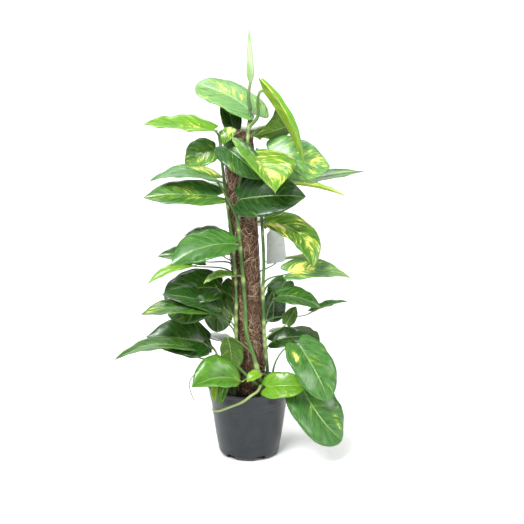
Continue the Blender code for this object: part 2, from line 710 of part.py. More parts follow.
def main():
    clear_scene()
    routes = {name: smooth_route(points, TUBE_STEP) for name, (points, thick, thin) in STEMS.items()}
    dress(make_pot(), (0.03, 0.032, 0.036), 0.45)
    dress(make_soil({name: (routes[name], STEMS[name][1]) for name in STEMS}), (0.03, 0.02, 0.012), 0.95)
    dress(make_stake(), (0.45, 0.3, 0.16), 0.7)
    dress(make_coir(), (0.2, 0.085, 0.04), 0.95)
    dress(make_tag(), (0.8, 0.8, 0.78), 0.5)
    for name, (points, thick, thin) in STEMS.items():
        dress(make_plant(name, routes[name], (thick, thin)), (0.09, 0.26, 0.03), 0.35)


main()
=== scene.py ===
# %% [markdown]
# # A golden pothos on a coir pole
#
# The plant climbs a leaning pole in a round nursery pot. Its solids come packed in one frame,
# in metres, with +Z up and -Y to the front. This lesson dresses them: each leafy stem, the pot,
# the soil and the coir get a fine piece that stands where its solid stands.

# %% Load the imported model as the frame
import math
import random
from collections import namedtuple

import bpy
import numpy as np
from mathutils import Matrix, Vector, noise


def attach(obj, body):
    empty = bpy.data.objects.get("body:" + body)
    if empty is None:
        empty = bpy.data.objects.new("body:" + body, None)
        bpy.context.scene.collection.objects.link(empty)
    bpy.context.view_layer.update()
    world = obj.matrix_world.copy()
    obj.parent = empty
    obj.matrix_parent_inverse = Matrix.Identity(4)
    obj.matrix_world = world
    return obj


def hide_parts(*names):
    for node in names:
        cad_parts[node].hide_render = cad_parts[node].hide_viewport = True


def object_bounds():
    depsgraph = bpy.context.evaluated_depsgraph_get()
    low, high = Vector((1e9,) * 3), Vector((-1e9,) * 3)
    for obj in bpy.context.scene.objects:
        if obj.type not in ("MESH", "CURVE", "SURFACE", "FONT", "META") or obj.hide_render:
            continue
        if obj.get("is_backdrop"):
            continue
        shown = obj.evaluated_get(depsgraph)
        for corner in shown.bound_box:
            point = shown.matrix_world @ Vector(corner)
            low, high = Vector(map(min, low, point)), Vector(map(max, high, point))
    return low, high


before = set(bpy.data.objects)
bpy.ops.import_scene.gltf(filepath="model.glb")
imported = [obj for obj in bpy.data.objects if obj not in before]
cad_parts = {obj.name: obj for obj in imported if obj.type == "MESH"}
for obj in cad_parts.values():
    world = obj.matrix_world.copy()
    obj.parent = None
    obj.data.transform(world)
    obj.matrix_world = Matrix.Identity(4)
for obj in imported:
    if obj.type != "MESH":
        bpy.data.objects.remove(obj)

cad_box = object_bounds()
MM = 0.001
print("nodes of the frame:", ", ".join(sorted(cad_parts)))

# %% [markdown]
# ## The camera
# The photograph looks at the middle of the plant from a little above, about 1.5 m away. The pot's
# rim and foot and the rolled leaf's tip fix the height, the distance and the lens. The camera comes
# first.

# %% The camera
bpy.ops.object.select_all(action="DESELECT")
bpy.ops.object.camera_add(location=(0.023, -1.5, 0.65), rotation=(math.radians(90.0 - 11.6), 0.0, 0.0))
camera = bpy.context.object
camera.data.sensor_width = 36.0
camera.data.lens = 61.6
bpy.context.scene.camera = camera
print("camera at", tuple(round(c, 3) for c in camera.location))

# %% [markdown]
# ## Floor, backdrop and light
# A live plant is shown best in a plain pale studio. Floor and backdrop are one wide paper sheet that
# curves up behind the plant, so that no edge shows. A large soft panel in front and above gives the
# leaves their broad bluish gloss, a weaker one on the right opens the shadows, a third lights the
# backdrop, and the pale world fills the rest.

# %% Floor, backdrop and light
SHEET_HALF_WIDTH, SHEET_FRONT, SHEET_BACK, SHEET_BEND, SHEET_TOP = 4.0, -3.5, 1.6, 0.9, 2.6

bpy.ops.object.select_all(action="DESELECT")
bpy.ops.mesh.primitive_grid_add(x_subdivisions=2, y_subdivisions=48, size=2.0)
floor = bpy.context.object
floor.name = "studio_paper_sheet"
arc = 0.5 * math.pi * SHEET_BEND
flat_run = SHEET_BACK - SHEET_FRONT
for vertex in floor.data.vertices:
    run = (0.5 + 0.5 * vertex.co.y) * (flat_run + arc + SHEET_TOP - SHEET_BEND)
    turn = min(max(run - flat_run, 0.0), arc) / SHEET_BEND
    depth = SHEET_FRONT + min(run, flat_run) + SHEET_BEND * math.sin(turn)
    rise = SHEET_BEND * (1.0 - math.cos(turn)) + max(run - flat_run - arc, 0.0)
    vertex.co = (vertex.co.x * SHEET_HALF_WIDTH, depth, rise)
bpy.ops.object.shade_smooth()
floor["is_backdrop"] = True

scene = bpy.context.scene
scene.view_settings.view_transform = "Standard"
scene.world = scene.world or bpy.data.worlds.new("studio")
scene.world.use_nodes = True
sky = scene.world.node_tree.nodes["Background"]
sky.inputs["Color"].default_value = (1.0, 1.0, 1.0, 1.0)
sky.inputs["Strength"].default_value = 0.4


def soft_panel(name, place, aim, size, power, colour):
    """A square studio light at a place, turned to what it lights."""
    bpy.ops.object.light_add(type="AREA", location=place)
    lamp = bpy.context.object
    lamp.name = name
    lamp.data.shape = "RECTANGLE"
    lamp.data.size, lamp.data.size_y = size
    lamp.data.energy = power
    lamp.data.color = colour
    lamp.rotation_euler = (Vector(aim) - Vector(place)).to_track_quat("-Z", "Y").to_euler()
    return lamp


soft_panel("key_panel", (-0.7, -1.5, 2.0), (0.0, 0.0, 0.35), (1.0, 0.8), 70.0, (0.95, 0.98, 1.0))
soft_panel("fill_panel", (1.7, -1.2, 1.2), (0.0, 0.0, 0.3), (1.0, 1.0), 20.0, (1.0, 0.98, 0.95))
soft_panel("backdrop_panel", (0.0, 0.7, 2.5), (0.0, 1.8, 0.5), (2.4, 0.6), 48.0, (1.0, 1.0, 1.0))

# %% [markdown]
# ## Small helpers for materials
# Every finish below is a little graph of nodes on top of one Principled shader. These helpers add
# a node, fill or link its inputs in one line, and do sums, ramps and mixes.

# %% Small helpers for materials
def node(tree, kind, inputs=None, **settings):
    """Adds a shader node, sets its settings and links or fills its inputs."""
    made = tree.nodes.new("ShaderNode" + kind)
    for name, value in settings.items():
        setattr(made, name, value)
    for key, value in (inputs or {}).items():
        if isinstance(value, bpy.types.NodeSocket):
            tree.links.new(value, made.inputs[key])
        else:
            made.inputs[key].default_value = value
    return made


def calc(tree, operation, first, second=0.0, third=0.0, clamp=False):
    inputs = {0: first, 1: second, 2: third}
    return node(tree, "Math", inputs, operation=operation, use_clamp=clamp).outputs[0]


def between(tree, value, low, high, to_low=0.0, to_high=1.0):
    """Turns low...high into to_low...to_high smoothly and holds the ends."""
    inputs = {"Value": value, "From Min": low, "From Max": high, "To Min": to_low, "To Max": to_high}
    return node(tree, "MapRange", inputs, interpolation_type="SMOOTHSTEP").outputs[0]


def blend_colour(tree, share, first, second, mode="MIX"):
    made = node(tree, "Mix", data_type="RGBA", blend_type=mode, clamp_factor=True)
    for index, value in ((0, share), (6, first), (7, second)):
        if isinstance(value, bpy.types.NodeSocket):
            tree.links.new(value, made.inputs[index])
        else:
            made.inputs[index].default_value = (*value, 1.0) if index > 0 else value
    return made.outputs[2]


def speckle(tree, place, scale, detail=2.0, roughness=0.5):
    """A noise between 0 and 1 read at a place."""
    inputs = {"Vector": place, "Scale": scale, "Detail": detail, "Roughness": roughness}
    return node(tree, "TexNoise", inputs, noise_dimensions="3D").outputs[0]


def new_finish(name):
    """A material with its graph and its Principled shader."""
    finish = bpy.data.materials.new(name)
    finish.use_nodes = True
    return finish, finish.node_tree, finish.node_tree.nodes["Principled BSDF"]


def bump(tree, shader, height, distance, strength=1.0):
    made = node(tree, "Bump", {"Height": height, "Distance": distance, "Strength": strength})
    tree.links.new(made.outputs[0], shader.inputs["Normal"])


def paint(obj, *finishes):
    """Gives an object these materials, in this order, and no others."""
    obj.data.materials.clear()
    for finish in finishes:
        obj.data.materials.append(finish)


def settle(obj, body_slot, *replaced):
    """Rides the piece on the root body and hides the solids that it stands for; body_slot is not used."""
    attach(obj, "root")
    if replaced:
        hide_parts(*replaced)
    print(obj.name, len(obj.data.vertices), "vertices")


# %% The floor's finish
paper, graph, shader = new_finish("studio_paper")
place = node(graph, "TexCoord").outputs["Object"]
grain = speckle(graph, place, 60.0)
graph.links.new(blend_colour(graph, grain, (0.93, 0.93, 0.93), (0.95, 0.95, 0.95)), shader.inputs["Base Color"])
shader.inputs["Roughness"].default_value = 0.9
paint(floor, paper)

# %% [markdown]
# ## The pot
# A nursery pot is blown or pressed from thin black plastic: a tapered wall, a collar that steps out
# under the rim, and a foot with notches for drainage. One profile is spun round the pot's axis. The
# notches are pushed up by moving the foot's points, so that the wall stays one closed skin.

# %% The pot
POT_HEIGHT = 125.0
POT_SIDES = 192
NOTCH_COUNT, NOTCH_HEIGHT, NOTCH_ANGLE, FRONT_FOOT_ANGLE = 6, 9.0, 20.0, -96.0
POT_PROFILE = (
    (0.0, 5.0), (36.0, 5.0), (42.0, 5.0), (44.0, 0.3), (45.6, 0.0), (48.0, 1.1), (51.0, 3.1), (52.9, 6.0), (53.8, 9.0),
    (54.3, 12.5), (54.7, 16.0), (56.4, 25.0), (58.2, 35.0), (60.6, 52.0), (62.6, 67.0), (64.4, 80.0),
    (65.5, 89.0), (66.0, 94.0), (66.2, 95.6), (67.0, 96.6), (67.3, 97.8), (68.1, 102.0), (68.3, 102.4),
    (68.6, 102.8), (69.4, 108.0), (70.4, 114.5), (71.3, 119.6), (71.9, 120.6), (72.4, 121.4), (72.5, 122.4),
    (72.5, 124.0), (72.2, 124.8), (71.6, 125.0), (71.0, 124.8), (70.7, 124.2), (70.5, 121.0), (68.6, 110.0),
    (65.2, 97.0), (62.5, 80.0), (56.3, 34.0), (53.0, 18.0), (50.0, 12.0), (44.0, 11.0), (0.0, 11.0),
)

bpy.ops.object.select_all(action="DESELECT")
bpy.ops.mesh.primitive_circle_add(vertices=POT_SIDES, radius=POT_PROFILE[1][0] * MM, fill_type="TRIFAN")
pot = bpy.context.object
pot.name = "pot_shell"
bpy.ops.object.mode_set(mode="EDIT")
bpy.ops.mesh.select_all(action="SELECT")
bpy.ops.transform.translate(value=(0.0, 0.0, POT_PROFILE[1][1] * MM))
bpy.ops.mesh.select_all(action="DESELECT")
bpy.ops.object.mode_set(mode="OBJECT")
for vertex in pot.data.vertices:
    vertex.select = math.hypot(vertex.co.x, vertex.co.y) > 0.001
for edge in pot.data.edges:
    edge.select = all(pot.data.vertices[index].select for index in edge.vertices)
bpy.ops.object.mode_set(mode="EDIT")
radius_now, height_now = POT_PROFILE[1]
for radius, height in POT_PROFILE[2:-1]:
    bpy.ops.mesh.extrude_edges_move(TRANSFORM_OT_translate={"value": (0.0, 0.0, (height - height_now) * MM)})
    ratio = radius / radius_now
    bpy.ops.transform.resize(value=(ratio, ratio, 1.0), center_override=(0.0, 0.0, 0.0))
    radius_now, height_now = radius, height
bpy.ops.mesh.edge_face_add()
bpy.ops.mesh.select_all(action="SELECT")
bpy.ops.mesh.normals_make_consistent(inside=False)
bpy.ops.object.mode_set(mode="OBJECT")


def foot_lift(x, y, z):
    """How far the foot's skin is pushed up inside a notch, from its place round the pot."""
    radius = math.hypot(x, y) / MM
    angle = math.degrees(math.atan2(y, x)) - FRONT_FOOT_ANGLE - 180.0 / NOTCH_COUNT
    off = abs((angle + 180.0 / NOTCH_COUNT) % (360.0 / NOTCH_COUNT) - 180.0 / NOTCH_COUNT)
    side = min(1.0, max(0.0, (0.5 * NOTCH_ANGLE + 1.0 - off) / 2.0))
    reach = min(1.0, max(0.0, radius - 42.5))
    return max(0.0, NOTCH_HEIGHT * side * reach - z / MM) * MM


for vertex in pot.data.vertices:
    x, y, z = vertex.co
    if z < (NOTCH_HEIGHT + 2.0) * MM:
        lift = foot_lift(x, y, z)
        vertex.co.z += lift
bpy.ops.object.shade_smooth_by_angle(angle=math.radians(38.0))
print("pot:", len(pot.data.polygons), "faces")

# %% [markdown]
# The plastic is charcoal, between satin and gloss. Faint rings run round it from the mould, dust
# dulls it here and there, and small scuffs sit low on the wall where pots rub in a tray.

# %% The pot's finish
plastic, graph, shader = new_finish("charcoal_plastic")
place = node(graph, "TexCoord").outputs["Object"]
axes = node(graph, "SeparateXYZ", {0: place})
dust = speckle(graph, place, 55.0, 4.0, 0.6)
drawn = node(graph, "Mapping", {"Vector": place, "Scale": (180.0, 180.0, 30.0)}).outputs[0]
scuffs = speckle(graph, drawn, 1.0, 3.0, 0.65)
low = between(graph, axes.outputs["Z"], 0.0, 0.06, 1.0, 0.15)
scuff_mask = calc(graph, "MULTIPLY", between(graph, scuffs, 0.62, 0.78), low)
tone = blend_colour(graph, between(graph, dust, 0.3, 0.8), (0.012, 0.0145, 0.018), (0.022, 0.026, 0.031))
tone = blend_colour(graph, calc(graph, "MULTIPLY", scuff_mask, 0.55), tone, (0.16, 0.16, 0.165))
graph.links.new(tone, shader.inputs["Base Color"])
rough = calc(graph, "MULTIPLY_ADD", dust, 0.18, 0.24)
graph.links.new(calc(graph, "MULTIPLY_ADD", scuff_mask, 0.25, rough), shader.inputs["Roughness"])
rings = calc(graph, "SINE", calc(graph, "MULTIPLY", axes.outputs["Z"], 2100.0))
fine = calc(graph, "MULTIPLY_ADD", rings, 0.12, calc(graph, "MULTIPLY", dust, 0.6))
bump(graph, shader, calc(graph, "MULTIPLY_ADD", scuffs, 0.25, fine), 0.00012, 0.8)
paint(pot, plastic)
settle(pot, "pot", "pot")

# %% [markdown]
# ## The soil
# Potting soil is a loose mix of dark fibres and crumbs. A flat disc with many small faces is
# raised by noise, keeps clear of the wall, and carries a few hundred loose crumbs, each a small
# rough stone turned its own way.

# %% The soil
SOIL_TOP = 111.0
SOIL_RADIUS = 64.6
SOIL_STEPS = 34


def soil_height(x, y):
    """The height of the soil's surface at a place, in millimetres."""
    coarse = noise.noise(Vector((0.045 * x, 0.045 * y, 1.0)))
    fine = noise.noise(Vector((0.21 * x, 0.21 * y, 7.0)))
    crown = 2.0 * (1.0 - (math.hypot(x, y) / SOIL_RADIUS) ** 2)
    return SOIL_TOP + crown + 2.4 * coarse + 1.5 * fine - 1.5


bpy.ops.object.select_all(action="DESELECT")
bpy.ops.mesh.primitive_grid_add(x_subdivisions=2 * SOIL_STEPS, y_subdivisions=2 * SOIL_STEPS, size=2.0)
soil = bpy.context.object
soil.name = "soil_surface"
for vertex in soil.data.vertices:
    across, along = vertex.co.x, vertex.co.y
    disc_x = across * math.sqrt(1.0 - 0.5 * along * along) * SOIL_RADIUS
    disc_y = along * math.sqrt(1.0 - 0.5 * across * across) * SOIL_RADIUS
    vertex.co = Vector((disc_x, disc_y, soil_height(disc_x, disc_y))) * MM
bpy.ops.object.mode_set(mode="EDIT")
bpy.ops.mesh.select_all(action="SELECT")
bpy.ops.mesh.extrude_region_move(TRANSFORM_OT_translate={"value": (0.0, 0.0, -0.012)})
bpy.ops.mesh.select_all(action="SELECT")
bpy.ops.mesh.normals_make_consistent(inside=False)
bpy.ops.object.mode_set(mode="OBJECT")
bpy.ops.object.shade_smooth()

bpy.ops.object.select_all(action="DESELECT")
bpy.ops.mesh.primitive_ico_sphere_add(subdivisions=1, radius=1.0)
crumb = bpy.context.object
crumb_points = np.array([vertex.co for vertex in crumb.data.vertices])
crumb_faces = [tuple(face.vertices) for face in crumb.data.polygons]
bpy.data.objects.remove(crumb)


def scattered(name, points, faces, places):
    """One mesh of many copies: each copy of the points is turned, sized and put in place."""
    stacked, all_faces = [], []
    for index, (turn, size, place) in enumerate(places):
        stacked.append((points * size) @ turn.T + place)
        shift = index * len(points)
        all_faces += [tuple(corner + shift for corner in face) for face in faces]
    mesh_data = bpy.data.meshes.new(name)
    mesh_data.from_pydata(np.concatenate(stacked).tolist(), [], all_faces)
    obj = bpy.data.objects.new(name, mesh_data)
    scene.collection.objects.link(obj)
    return obj


def any_turn(rough):
    """A rotation picked at random, as a 3 by 3 table."""
    axis = Vector((rough.gauss(0, 1), rough.gauss(0, 1), rough.gauss(0, 1))).normalized()
    from_axis = axis.to_track_quat("Z", "Y").to_matrix()
    return np.array(from_axis)


rough = random.Random(11)
places = []
for index in range(620):
    radius, angle = (SOIL_RADIUS - 3.0) * math.sqrt(rough.random()), rough.uniform(0.0, math.tau)
    x, y = radius * math.cos(angle), radius * math.sin(angle)
    size = np.array([rough.uniform(0.5, 1.9), rough.uniform(0.5, 1.4), rough.uniform(0.4, 1.0)]) * MM
    places.append((any_turn(rough), size, np.array((x, y, soil_height(x, y) + 0.2)) * MM))
crumbs = scattered("soil_crumbs", crumb_points, crumb_faces, places)
print("crumbs:", len(places))

# %% The soil's finish
earth, graph, shader = new_finish("dark_earth")
place = node(graph, "TexCoord").outputs["Object"]
lumps = speckle(graph, place, 240.0, 4.0, 0.7)
fibres = speckle(graph, node(graph, "Mapping", {"Vector": place, "Scale": (900.0, 200.0, 400.0)}).outputs[0], 1.0, 2.0)
tone = blend_colour(graph, between(graph, lumps, 0.35, 0.7), (0.008, 0.005, 0.003), (0.045, 0.028, 0.016))
tone = blend_colour(graph, between(graph, fibres, 0.66, 0.74, 0.0, 0.6), tone, (0.16, 0.1, 0.055))
graph.links.new(tone, shader.inputs["Base Color"])
shader.inputs["Roughness"].default_value = 0.95
bump(graph, shader, calc(graph, "ADD", lumps, fibres), 0.0012)
for piece in (soil, crumbs):
    paint(piece, earth)
    settle(piece, "soil", "soil")

# %% [markdown]
# ## The pole
# A plain wooden rod is hidden inside a sleeve of coir, the coarse fibre of coconut husks. The rod
# keeps its imported solid. The sleeve gets a lumpy core, near black in places as painted shade of
# the deep gaps between the fibres, and a felt of thin fibres: one bent strand is made once, and each
# copy is bent round the pole at its own place, slant and length.

# %% The rod's finish
wood, graph, shader = new_finish("turned_wood")
place = node(graph, "TexCoord").outputs["Object"]
grain_place = node(graph, "Mapping", {"Vector": place, "Scale": (320.0, 320.0, 9.0)}).outputs[0]
grain = speckle(graph, grain_place, 1.0, 3.0)
tone = blend_colour(graph, between(graph, grain, 0.3, 0.7), (0.3, 0.17, 0.075), (0.52, 0.34, 0.17))
graph.links.new(tone, shader.inputs["Base Color"])
shader.inputs["Roughness"].default_value = 0.7
bump(graph, shader, grain, 0.0003)
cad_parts["pole_stake"].data.materials.clear()
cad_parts["pole_stake"].data.materials.append(wood)

# %% The coir sleeve
POLE_TOP_Z = 564.0
POLE_X_AT_SOIL, POLE_X_AT_TOP = 6.0, -17.0
COIR_BOTTOM_Z = 104.0
COIR_RADIUS = 24.0


def pole_axis(height):
    """The centre line of the leaning pole, in millimetres."""
    share = (height - SOIL_TOP) / (POLE_TOP_Z - SOIL_TOP)
    return Vector((POLE_X_AT_SOIL + (POLE_X_AT_TOP - POLE_X_AT_SOIL) * share, 0.0, height))


def coir_radius(height, angle):
    """The lumpy core's radius at a height and an angle."""
    lumps = noise.noise(Vector((2.2 * math.cos(angle), 2.2 * math.sin(angle), 0.035 * height)))
    return COIR_RADIUS - 0.6 + 0.9 * lumps


bpy.ops.object.select_all(action="DESELECT")
bpy.ops.mesh.primitive_cylinder_add(vertices=56, radius=COIR_RADIUS * MM, depth=1.0, end_fill_type="NGON")
core = bpy.context.object
core.name = "coir_core"
bpy.ops.object.mode_set(mode="EDIT")
bpy.ops.mesh.select_all(action="DESELECT")
bpy.ops.object.mode_set(mode="OBJECT")
for edge in core.data.edges:
    ends = [core.data.vertices[index].co.z for index in edge.vertices]
    edge.select = abs(ends[0] - ends[1]) > 0.5
bpy.ops.object.mode_set(mode="EDIT")
bpy.ops.mesh.subdivide_edgering(number_cuts=110)
bpy.ops.object.mode_set(mode="OBJECT")
for vertex in core.data.vertices:
    angle = math.atan2(vertex.co.y, vertex.co.x)
    height = COIR_BOTTOM_Z + (POLE_TOP_Z - 1.5 - COIR_BOTTOM_Z) * (vertex.co.z + 0.5)
    out = coir_radius(height, angle) - 2.5 * max(0.0, (height - POLE_TOP_Z + 5.0) / 5.0)
    vertex.co = (pole_axis(height) + Vector((math.cos(angle), math.sin(angle), 0.0)) * out) * MM
bpy.ops.object.shade_smooth_by_angle(angle=math.radians(50.0))
print("coir core:", len(core.data.polygons), "faces")

# %% The coir fibres
STRANDS = 4200
STRAND_STEPS = 7


def strand_points(rough):
    """The points of one fibre that lies on the sleeve: it wanders, and dips in and out."""
    angle, height = rough.uniform(0.0, math.tau), rough.uniform(COIR_BOTTOM_Z, POLE_TOP_Z + 1.0)
    slant = rough.gauss(math.pi / 2, 0.75) if rough.random() < 0.6 else rough.uniform(0.0, math.tau)
    length = rough.uniform(10.0, 34.0)
    turn = rough.gauss(0.0, 0.06)
    out = rough.uniform(-0.3, 0.7)
    lift = rough.uniform(0.0, 1.1) if rough.random() < 0.75 else rough.uniform(0.8, 2.4)
    points = []
    for step in range(STRAND_STEPS):
        share = step / (STRAND_STEPS - 1)
        over = out + lift * math.sin(math.pi * share)
        points.append((angle, height, over))
        slant += turn * length / STRAND_STEPS
        angle += math.cos(slant) * length / (STRAND_STEPS - 1) / COIR_RADIUS
        height += math.sin(slant) * length / (STRAND_STEPS - 1)
    return points


def strand_mesh(name, count, seed):
    """Many three-sided fibres as one mesh, each with its own shade."""
    rough = random.Random(seed)
    points, faces, shades = [], [], []
    for index in range(count):
        route = []
        for angle, height, over in strand_points(rough):
            height = min(max(height, COIR_BOTTOM_Z), POLE_TOP_Z + 1.2)
            radius = coir_radius(height, angle) + over
            route.append(pole_axis(height) + Vector((math.cos(angle), math.sin(angle), 0.0)) * radius)
        thick = rough.uniform(0.2, 0.5)
        shade = rough.random()
        start = len(points)
        for step, middle in enumerate(route):
            ahead = (route[min(step + 1, STRAND_STEPS - 1)] - route[max(step - 1, 0)]).normalized()
            side = ahead.cross(Vector((0.3, 0.5, 0.81))).normalized()
            up = ahead.cross(side)
            size = thick * (0.45 if step in (0, STRAND_STEPS - 1) else 1.0)
            for corner in range(3):
                turn = math.tau * corner / 3.0
                points.append((middle + side * (size * math.cos(turn)) + up * (size * math.sin(turn))) * MM)
                shades.append(shade)
        for step in range(STRAND_STEPS - 1):
            for corner in range(3):
                low, after = start + 3 * step + corner, start + 3 * step + (corner + 1) % 3
                faces.append((low, after, after + 3, low + 3))
        last = start + 3 * (STRAND_STEPS - 1)
        faces += [(start + 2, start + 1, start), (last, last + 1, last + 2)]
    mesh_data = bpy.data.meshes.new(name)
    mesh_data.from_pydata(points, [], faces)
    shade_layer = mesh_data.attributes.new("shade", "FLOAT", "POINT")
    shade_layer.data.foreach_set("value", shades)
    obj = bpy.data.objects.new(name, mesh_data)
    scene.collection.objects.link(obj)
    mesh_data.shade_smooth()
    return obj


fibres = strand_mesh("coir_fibres", STRANDS, 21)
print("coir fibres:", len(fibres.data.polygons), "faces")

# %% The coir's finishes
core_finish, graph, shader = new_finish("coir_shadow")
place = node(graph, "TexCoord").outputs["Object"]
matted = speckle(graph, place, 420.0, 4.0, 0.7)
patches = speckle(graph, place, 60.0, 2.0)
# The core runs from near black, painted shade of the deep gaps between the fibres, to the coir's own brown.
tone = blend_colour(graph, between(graph, matted, 0.38, 0.66), (0.02, 0.01, 0.006), (0.2, 0.105, 0.06))
tone = blend_colour(graph, between(graph, patches, 0.5, 0.72, 0.0, 0.5), tone, (0.16, 0.085, 0.05))
graph.links.new(tone, shader.inputs["Base Color"])
shader.inputs["Roughness"].default_value = 0.95
bump(graph, shader, matted, 0.001)
paint(core, core_finish)
settle(core, "coir", "coir_sleeve")

fibre_finish, graph, shader = new_finish("coir_fibre")
shade = node(graph, "Attribute", attribute_name="shade").outputs["Fac"]
ramp = node(graph, "ValToRGB", {"Fac": shade})
for position, colour in ((0.35, (0.17, 0.09, 0.05)), (0.75, (0.4, 0.24, 0.14))):
    ramp.color_ramp.elements.new(position).color = (*colour, 1.0)
ramp.color_ramp.elements[0].color = (0.05, 0.025, 0.014, 1.0)
ramp.color_ramp.elements[-1].color = (0.8, 0.6, 0.42, 1.0)
graph.links.new(ramp.outputs[0], shader.inputs["Base Color"])
shader.inputs["Roughness"].default_value = 0.62
paint(fibres, fibre_finish)
settle(fibres, "coir", "coir_sleeve")

# %% [markdown]
# ## The care tag
# A blank tag of thin pale plastic hangs behind the pole, its strap's tongue pushed into the coir.
# It is a flat outline filled with one face, pushed back by its thickness, its edges rounded.

# %% The care tag
TAG_OUTLINE = (
    (31, 331), (62, 336), (65, 346), (62, 378), (55, 386), (46, 389), (41, 393), (39, 407), (33, 407),
    (36, 391), (31, 384),
)
TAG_BACK_Y, TAG_THICKNESS = 33.0, 0.9


def prism(name, corners, push):
    """A flat outline filled with one face and pushed by its thickness."""
    mesh_data = bpy.data.meshes.new(name)
    mesh_data.from_pydata([tuple(c * MM for c in corner) for corner in corners], [], [range(len(corners))])
    obj = bpy.data.objects.new(name, mesh_data)
    scene.collection.objects.link(obj)
    bpy.ops.object.select_all(action="DESELECT")
    obj.select_set(True)
    bpy.context.view_layer.objects.active = obj
    bpy.ops.object.mode_set(mode="EDIT")
    bpy.ops.mesh.select_all(action="SELECT")
    bpy.ops.mesh.extrude_region_move(TRANSFORM_OT_translate={"value": tuple(c * MM for c in push)})
    bpy.ops.mesh.select_all(action="SELECT")
    bpy.ops.mesh.normals_make_consistent(inside=False)
    bpy.ops.object.mode_set(mode="OBJECT")
    edge = obj.modifiers.new("edge", "BEVEL")
    edge.width = 0.0003
    edge.segments = 2
    bpy.ops.object.modifier_apply(modifier="edge")
    bpy.ops.object.shade_smooth_by_angle(angle=math.radians(40.0))
    return obj


tag_plate = prism("care_tag_plate", [(x, TAG_BACK_Y, z) for x, z in TAG_OUTLINE], (0.0, TAG_THICKNESS, 0.0))
tongue = [(36.8, 33.4, 401.2), (5.4, 10.0, 401.2), (5.4, 10.0, 406.8), (36.8, 33.4, 406.8)]
tag_tongue = prism("care_tag_tongue", tongue, (-0.48, 0.64, 0.0))

label, graph, shader = new_finish("pale_plastic")
place = node(graph, "TexCoord").outputs["Object"]
worn = speckle(graph, place, 160.0, 3.0)
height = node(graph, "SeparateXYZ", {0: place}).outputs["Z"]
# The tag is paler above and darker over its lowest few centimetres.
paler_above = between(graph, height, 0.33, 0.36, 0.0, 1.0)
tone = blend_colour(graph, paler_above, (0.46, 0.5, 0.5), (0.66, 0.69, 0.68))
tone = blend_colour(graph, between(graph, worn, 0.45, 0.8, 0.0, 0.5), tone, (0.42, 0.46, 0.44))
graph.links.new(tone, shader.inputs["Base Color"])
shader.inputs["Roughness"].default_value = 0.42
bump(graph, shader, worn, 0.0001)
for piece in (tag_plate, tag_tongue):
    paint(piece, label)
    settle(piece, "tag", "care_tag")

# %% [markdown]
# ## The blade that every leaf starts from
# A pothos leaf is a waxy heart with a drawn-out tip. All of them share one plan, so one flat
# heart is made from a grid: its rows run from the notch to the tip and its columns from edge to
# edge. Each point keeps its place on the plan, along and across, and so does the UV map, because
# the colour streaks follow the side veins. A leaf is then a copy of the heart, bent in code by
# where its stalk joins it, where its tip is and which way its face looks. Bending by formula was
# chosen over bones or lattices, because some fifty leaves each need their own arch and fold.

# %% The flat heart
BLADE_ROWS, BLADE_COLUMNS = 48, 22

bpy.ops.object.select_all(action="DESELECT")
bpy.ops.mesh.primitive_grid_add(x_subdivisions=BLADE_ROWS, y_subdivisions=BLADE_COLUMNS, size=2.0)
heart = bpy.context.object
heart.name = "heart_plan"

grid = np.zeros(3 * len(heart.data.vertices))
heart.data.vertices.foreach_get("co", grid)
grid = grid.reshape(-1, 3)
along_plan = 0.5 + 0.5 * grid[:, 0]
across_plan = grid[:, 1] * (0.6 + 0.4 * grid[:, 1] ** 2)
for layer_name, values in (("along", along_plan), ("across", across_plan)):
    layer = heart.data.attributes.new(layer_name, "FLOAT", "POINT")
    layer.data.foreach_set("value", values)
uv_map = heart.data.uv_layers.active
uv_map.name = "blade"
for loop in heart.data.loops:
    index = loop.vertex_index
    uv_map.data[loop.index].uv = (along_plan[index], 0.5 + 0.5 * across_plan[index])
flat = np.stack([along_plan, np.sqrt(1.0001 - along_plan**8) * across_plan, 0.0 * along_plan], axis=1)
flat[along_plan > 0.9999] = (1.0, 0.0, 0.0)
heart.data.vertices.foreach_set("co", flat.ravel())
bpy.ops.object.mode_set(mode="EDIT")
bpy.ops.mesh.select_all(action="SELECT")
bpy.ops.mesh.remove_doubles(threshold=0.00001)
bpy.ops.object.mode_set(mode="OBJECT")
count = len(heart.data.vertices)
ALONG, ACROSS = np.zeros(count), np.zeros(count)
heart.data.attributes["along"].data.foreach_get("value", ALONG)
heart.data.attributes["across"].data.foreach_get("value", ACROSS)
print("heart plan:", count, "vertices,", len(heart.data.polygons), "faces")

# %% [markdown]
# ## Where the leaves are
# The table lists every leaf: its stem and the height of its node there, where the blade joins its
# stalk, its tip, its width, the way its upper face looks, and its arch, fold, sweep and twist. Heart
# is how far the lobes beside the stalk are drawn back, full how blunt the far end is. Lengths are in
# millimetres and become metres where a mesh is made.

